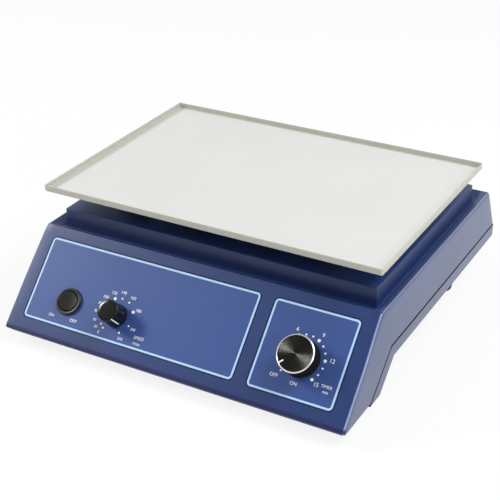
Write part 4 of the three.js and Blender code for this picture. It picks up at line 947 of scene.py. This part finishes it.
# %% Speed knob
KNOB_FOOT = 0.3 * MM
SHAFT_ROOM = 3.2 * MM
HOLLOW_TOP = KNOB_FOOT + 2.2 * MM
POINTER_WIDTH = 1.1 * MM
LINE_LIFT = 0.06 * MM
SPEED_TOP = KNOB_FOOT + 17.2 * MM
SPEED_BASE = 10.2 * MM
SPEED_FACE = 9.4 * MM
SPEED_RIM = 0.8 * MM
SPEED_BEVEL = 1.9 * MM
SPEED_BEVEL_DROP = 0.44 * MM
SPEED_SIDE_TOP = SPEED_TOP - SPEED_BEVEL_DROP - SPEED_RIM
SPEED_POINTS = -42
BASE_ROUND = 0.3 * MM
base_middle = SPEED_BASE - BASE_ROUND
rim_middle = SPEED_FACE - SPEED_RIM
flat_face = rim_middle - SPEED_BEVEL
below_rim = [SPEED_FACE + 0.05 * MM, SPEED_SIDE_TOP - 1 * MM]
knob_profile = np.vstack([
    [[SHAFT_ROOM, HOLLOW_TOP], [SPEED_NUT_ROOM, HOLLOW_TOP], [SPEED_NUT_ROOM, KNOB_FOOT],
     [base_middle, KNOB_FOOT]],
    arc((base_middle, KNOB_FOOT + BASE_ROUND), BASE_ROUND, -90, 0, 3),
    [[SPEED_BASE - 0.1 * MM, KNOB_FOOT + 3 * MM], below_rim],
    arc((rim_middle, SPEED_SIDE_TOP), SPEED_RIM, 0, 77, 6),
    [[flat_face, SPEED_TOP - 0.02 * MM], [flat_face - 0.3 * MM, SPEED_TOP],
     [4 * MM, SPEED_TOP + 0.03 * MM], [0.3 * MM, SPEED_TOP + 0.04 * MM]],
])
speed_knob = turned("speed_cap", knob_profile, panel_spot(*SPEED), 128)
hand_over(speed_knob, "speed_dial", black_gloss, ["speed_knob"])


def side_line(name, spot, degrees, width, stations):
    """A thin bar that follows the stations (radius, height) of a knob's outline at one angle."""
    sine, cosine = math.sin(math.radians(degrees)), math.cos(math.radians(degrees))
    stations = np.asarray(stations, float)
    shift = np.array([-1, 1, 1, -1]) * width / 2
    lift = np.array([-1, -1, 1, 1]) * LINE_LIFT
    run = np.gradient(stations, axis=0)
    outward = np.stack([run[:, 1], -run[:, 0]], -1) / np.linalg.norm(run, axis=1)[:, None]
    radius, height = np.moveaxis(stations[:, None] + outward[:, None] * lift[:, None], -1, 0)
    grid = panel_spot(*spot)(radius * cosine - shift * sine, radius * sine + shift * cosine, height)
    return stacked(name, grid, smooth=False)


pointer_stations = np.vstack([
    [[SPEED_BASE - 0.05 * MM, KNOB_FOOT + 4.5 * MM], below_rim],
    arc((rim_middle, SPEED_SIDE_TOP), SPEED_RIM, 0, 60, 3),
])
pointer = side_line("speed_line", SPEED, SPEED_POINTS, POINTER_WIDTH, pointer_stations)
hand_over(pointer, "speed_dial", white_ink)

# %% [markdown]
# The timer knob is turned from aluminium and anodised black. Its side has fine straight ribs,
# its rim is cut bright, and its face keeps the rings of the turning tool. The rings are a
# bump that follows the distance from the axis, so light draws streaks across them.

# %% Timer knob
TIMER_TOP = KNOB_FOOT + 16.4 * MM
TIMER_RADIUS = 15.6 * MM
TIMER_CHAMFER = 0.6 * MM
FACE_DROP = 0.15 * MM
TIMER_RIBS = 96
RIB_DEPTH = 0.45 * MM
low_side = KNOB_FOOT + 0.6 * MM
high_side = TIMER_TOP - 1.7 * MM
face = TIMER_TOP - FACE_DROP
timer_profile = [
    [SHAFT_ROOM, HOLLOW_TOP], [TIMER_NUT_ROOM, HOLLOW_TOP], [TIMER_NUT_ROOM, KNOB_FOOT],
    [TIMER_RADIUS - 0.5 * MM, KNOB_FOOT], [TIMER_RADIUS, low_side], [TIMER_RADIUS, low_side + 0.3 * MM],
    [TIMER_RADIUS, high_side - 0.3 * MM], [TIMER_RADIUS, high_side],
    [TIMER_RADIUS, TIMER_TOP - TIMER_CHAMFER - 0.05 * MM],
    [TIMER_RADIUS - TIMER_CHAMFER, TIMER_TOP - TIMER_CHAMFER],
    [TIMER_RADIUS - 2 * TIMER_CHAMFER, face], [10 * MM, face], [5 * MM, face], [0.3 * MM, face],
]
rib_depths = RIB_DEPTH * np.array([0, 0, 0, 0, 0, 1, 1, 0, 0, 0, 0, 0, 0, 0])
timer_knob = turned("timer_cap", timer_profile, panel_spot(*TIMER), 6 * TIMER_RIBS, TIMER_RIBS, rib_depths)

RING_PITCH = 0.45 * MM
RING_DEPTH = 0.05 * MM


def spun_black():
    """Black anodised metal whose bump is a wave of the distance from the knob's axis."""
    made = Finish("spun black", (0.036, 0.035, 0.032), 0.20, 1.0)
    inputs = {"Vector": made.place, "Location": tuple(on_panel(*TIMER, 0)), "Rotation": (SLOPE, 0, 0)}
    local = made.signal("ShaderNodeMapping", inputs, {"vector_type": "TEXTURE"})
    flat = made.signal("ShaderNodeVectorMath", {0: local, 1: (1, 1, 0)}, {"operation": "MULTIPLY"})
    radius = made.signal("ShaderNodeVectorMath", {0: flat}, {"operation": "LENGTH"}, "Value")
    rings = (radius * (math.tau / RING_PITCH)).math("SINE") * 0.5 + 0.5
    made.bump(rings, RING_DEPTH)
    made.set("Roughness", radius.past(TIMER_RADIUS, -0.8, -0.5) * 0.35 + 0.2)
    tinted(made, made.noise(3 * MM).step(0.35, 0.65) * 0.4, (0.044, 0.042, 0.038))
    return made.material


hand_over(timer_knob, "timer_dial", spun_black(), ["timer_knob"])

PROUD = 0.02 * MM
rim_out = TIMER_RADIUS + PROUD
rim_low = TIMER_TOP - TIMER_CHAMFER
rim_section = [
    [TIMER_RADIUS - 1.3 * MM, TIMER_TOP - 0.4 * MM], [rim_out, rim_low - 0.1 * MM], [rim_out, rim_low],
    [rim_out - TIMER_CHAMFER, TIMER_TOP], [TIMER_RADIUS - TIMER_CHAMFER - 0.1 * MM, TIMER_TOP],
]
rim = turned("timer_bright_rim", rim_section, panel_spot(*TIMER), 192, wrapped=True)
hand_over(rim, "timer_dial", bare_metal("bright cut rim", (0.86, 0.85, 0.80), 0.32, (1, 1, 1)))
mark_stations = [[share * TIMER_RADIUS, face] for share in (0.93, 0.8, 0.66)]
timer_mark = side_line("timer_mark", TIMER, TIMER_ZERO, POINTER_WIDTH, mark_stations)
hand_over(timer_mark, "timer_dial", white_ink)

# %% [markdown]
# The tray is folded from one sheet and painted off-white. Its profile starts under the floor,
# goes round the outer fold, up the wall, over the rim and down into the inner fold.

# %% Tray
tray_low, tray_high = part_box("tray")
TRAY_SHEET = 1 * MM
TRAY_CORNER = 1.5 * MM
TRAY_FOLD = 1.3 * MM
TRAY_RIM = 0.45 * MM
INNER_FOLD = 0.8 * MM
FLOOR_START = 20 * MM
TRAY_LEAST = 0.4 * MM

# Each profile point is an inset from the tray's edge and a height.
bottom, top = tray_low.z, tray_high.z
inner_floor, inner_bend = bottom + TRAY_SHEET, TRAY_SHEET + INNER_FOLD
tray_profile = np.vstack([
    [[FLOOR_START, bottom], [TRAY_FOLD + 0.5 * MM, bottom]],
    arc((TRAY_FOLD, bottom + TRAY_FOLD), TRAY_FOLD, 270, 180, 6),
    [[0, bottom + TRAY_FOLD + 0.4 * MM], [0, top - TRAY_RIM - 0.3 * MM]],
    arc((TRAY_RIM, top - TRAY_RIM), TRAY_RIM, 180, 90, 4),
    arc((TRAY_SHEET - TRAY_RIM, top - TRAY_RIM), TRAY_RIM, 90, 0, 4),
    [[TRAY_SHEET, top - TRAY_RIM - 0.3 * MM], [TRAY_SHEET, inner_floor + INNER_FOLD + 0.3 * MM]],
    arc((inner_bend, inner_floor + INNER_FOLD), INNER_FOLD, 180, 270, 6),
    [[inner_bend + 0.4 * MM, inner_floor], [FLOOR_START, inner_floor]],
])
half, centre_x = (tray_high.x - tray_low.x) / 2, (tray_low.x + tray_high.x) / 2
tray_rows = [rectangle(half - inset, tray_low.y + inset, tray_high.y - inset,
                       max(TRAY_CORNER - inset, TRAY_LEAST), z) for inset, z in tray_profile]
tray = stacked("tray_sheet", np.stack(tray_rows) + np.array([centre_x, 0, 0]))
hand_over(tray, "tray_assembly", finishes["tray_white"], ["tray"])

# %% [markdown]
# Four rubber feet taper slightly to the bench and have a soft lower edge. A recess in each
# takes the head of its screw.

# %% Feet
FOOT_RADIUS = 10.5 * MM
FOOT_HEIGHT = 8.2 * MM
FOOT_BASE = 8.2 * MM
BASE_EDGE = 1 * MM
TOP_EDGE = 0.8 * MM
SCREW_ROOM = 2.4 * MM
RECESS = 5 * MM
RECESS_DEPTH = 4 * MM
RECESS_EDGE = 0.3 * MM
foot_profile = np.vstack([
    [[SCREW_ROOM, RECESS_DEPTH], [RECESS, RECESS_DEPTH], [RECESS, RECESS_EDGE], [RECESS + RECESS_EDGE, 0],
     [FOOT_BASE, 0]],
    arc((FOOT_BASE, BASE_EDGE), BASE_EDGE, -90, -10, 5),
    [[FOOT_RADIUS - 0.1 * MM, FOOT_HEIGHT - 2 * TOP_EDGE]],
    arc((FOOT_RADIUS - TOP_EDGE, FOOT_HEIGHT - TOP_EDGE), TOP_EDGE, 0, 90, 4),
    [[SCREW_ROOM, FOOT_HEIGHT]],
])
for corner in CORNERS:
    foot = turned("rubber_foot_" + corner, foot_profile, above_node("foot_" + corner), 72, wrapped=True)
    hand_over(foot, "housing", rubber, ["foot_" + corner])

# %% [markdown]
# The studio is a plain pale floor in a white room. To the camera both are white. Mirrored rays
# see the room darker in front of the shaker and overhead, as the real highlights show. Light
# Path tells these rays apart, so the background is white without more light on the object.

# %% Floor and world
FLOOR_HALF = 6.0
FLOOR_TONE = 0.9
FLOOR_GLOW = 0.86
WORLD_LIGHT = 0.35
ROOM_SHADE = 0.65


def ray_kinds(tree):
    """Three signals, each 1 for one kind of ray: from the camera, mirrored, and passing through."""
    rays = tree.node("ShaderNodeLightPath")
    return (Signal(tree, rays.outputs[f"Is {kind} Ray"]) for kind in ("Camera", "Glossy", "Transmission"))


# The floor keeps a soft share of the shadow where it is seen.
corners = np.array([[-1, -1, 0], [1, -1, 0], [1, 1, 0], [-1, 1, 0]]) * FLOOR_HALF
floor = finish_mesh("studio_floor", corners, [[0, 1, 2, 3]], False)
pale = Finish("pale floor", (FLOOR_TONE,) * 3, 0.9, Specular_IOR_Level=0.0, Emission_Strength=1.0)
camera_ray, mirrored_ray, through = ray_kinds(pale)
glow = camera_ray.math("MAXIMUM", mirrored_ray).math("MAXIMUM", through) * FLOOR_GLOW
pale.set("Base Color", (1 - glow) * FLOOR_TONE)
pale.set("Emission Color", glow)
floor.data.materials.append(pale.material)

# `room` is high for directions that point to the front and up, and there the mirrored world is darker.
world = bpy.data.worlds.new("studio")
bpy.context.scene.world = world
sky = Tree(world)
camera_ray, mirrored_ray, through = ray_kinds(sky)
direction = sky.signal("ShaderNodeTexCoord", output="Generated")
y, z = (sky.signal("ShaderNodeSeparateXYZ", {"Vector": direction}, output=axis) for axis in "YZ")
room = z * 0.6 - y * 0.8
mirrored = 1 - room.step(0.0, 0.8) * ROOM_SHADE
strength = (camera_ray.math("MAXIMUM", through) * (1 - WORLD_LIGHT)
            + mirrored_ray * (mirrored - WORLD_LIGHT) + WORLD_LIGHT)
background = sky.signal("ShaderNodeBackground", {"Color": (1, 1, 1, 1), "Strength": strength})
sky.node("ShaderNodeOutputWorld", {"Surface": background})
print("floor of", 2 * FLOOR_HALF, "m and world of strength", WORLD_LIGHT)

# %% [markdown]
# Four square soft boxes light the panel. The key lamp stands at the left, the side lamp at
# the right and behind, and two weak ones draw the gleam on the right edge and on the knobs.
# The right edge's gleam is also a painted highlight in the housing's blue.

# %% Lamps
PANEL_MIDDLE = Vector((0, -0.13, 0.04))
LAMPS = {
    "key": ((-1.58, -0.63, 1.13), 0.45, 16.3),
    "side": ((1.1, 0.27, 1.65), 0.8, 24),
    "edge": ((1.8, -0.62, 0.87), 0.4, 7.5),
    "glint": ((-1.54, -0.46, 1.37), 0.4, 4.5),
}
for name, (place, size, watts) in LAMPS.items():
    lamp = bpy.data.lights.new(name, "AREA")
    lamp.shape = "SQUARE"
    lamp.size = size
    lamp.energy = watts
    holder = in_scene(name, lamp)
    holder.location = place
    away = Vector(place) - PANEL_MIDDLE
    holder.rotation_euler = away.to_track_quat("Z", "Y").to_euler()
    print(name, "lamp of", watts, "W at", round(away.length, 2), "m")

# %% [markdown]
# The camera was solved from the photograph: the four corners of the tray gave its place, its
# turn and its lens. It looks down at about 28 degrees from the right of the front.

# %% Camera
CAMERA_PLACE = (457.0 * MM, -812.55 * MM, 556.8 * MM)
CAMERA_TURN = math.radians(29.8965)
CAMERA_DOWN = math.radians(28.4615)
CAMERA_ROLL = math.radians(0.9349)
LENS = 85.276
SENSOR = 36
LENS_SHIFT = (0.0007, -0.00056)
NEAREST = 50 * MM
turn_sin, turn_cos = math.sin(CAMERA_TURN), math.cos(CAMERA_TURN)
tilt_sin, tilt_cos = math.sin(CAMERA_DOWN), math.cos(CAMERA_DOWN)
roll_sin, roll_cos = math.sin(CAMERA_ROLL), math.cos(CAMERA_ROLL)
ahead = np.array([-turn_sin * tilt_cos, turn_cos * tilt_cos, -tilt_sin])
right = np.array([turn_cos, turn_sin, 0.0])
below = np.cross(ahead, right)
camera_right = roll_cos * right + roll_sin * below
camera_up = roll_sin * right - roll_cos * below

camera_data = bpy.data.cameras.new("camera")
camera_data.lens = LENS
camera_data.sensor_width = SENSOR
camera_data.shift_x, camera_data.shift_y = LENS_SHIFT
camera_data.clip_start = NEAREST
camera = in_scene("camera", camera_data)
placed = np.eye(4)
placed[:3, :3] = np.stack([camera_right, camera_up, -ahead], -1)
placed[:3, 3] = CAMERA_PLACE
camera.matrix_world = Matrix(placed.tolist())
bpy.context.scene.camera = camera
bpy.context.scene.view_settings.view_transform = "Standard"
print("camera at", CAMERA_PLACE, "with a lens of", LENS, "mm")
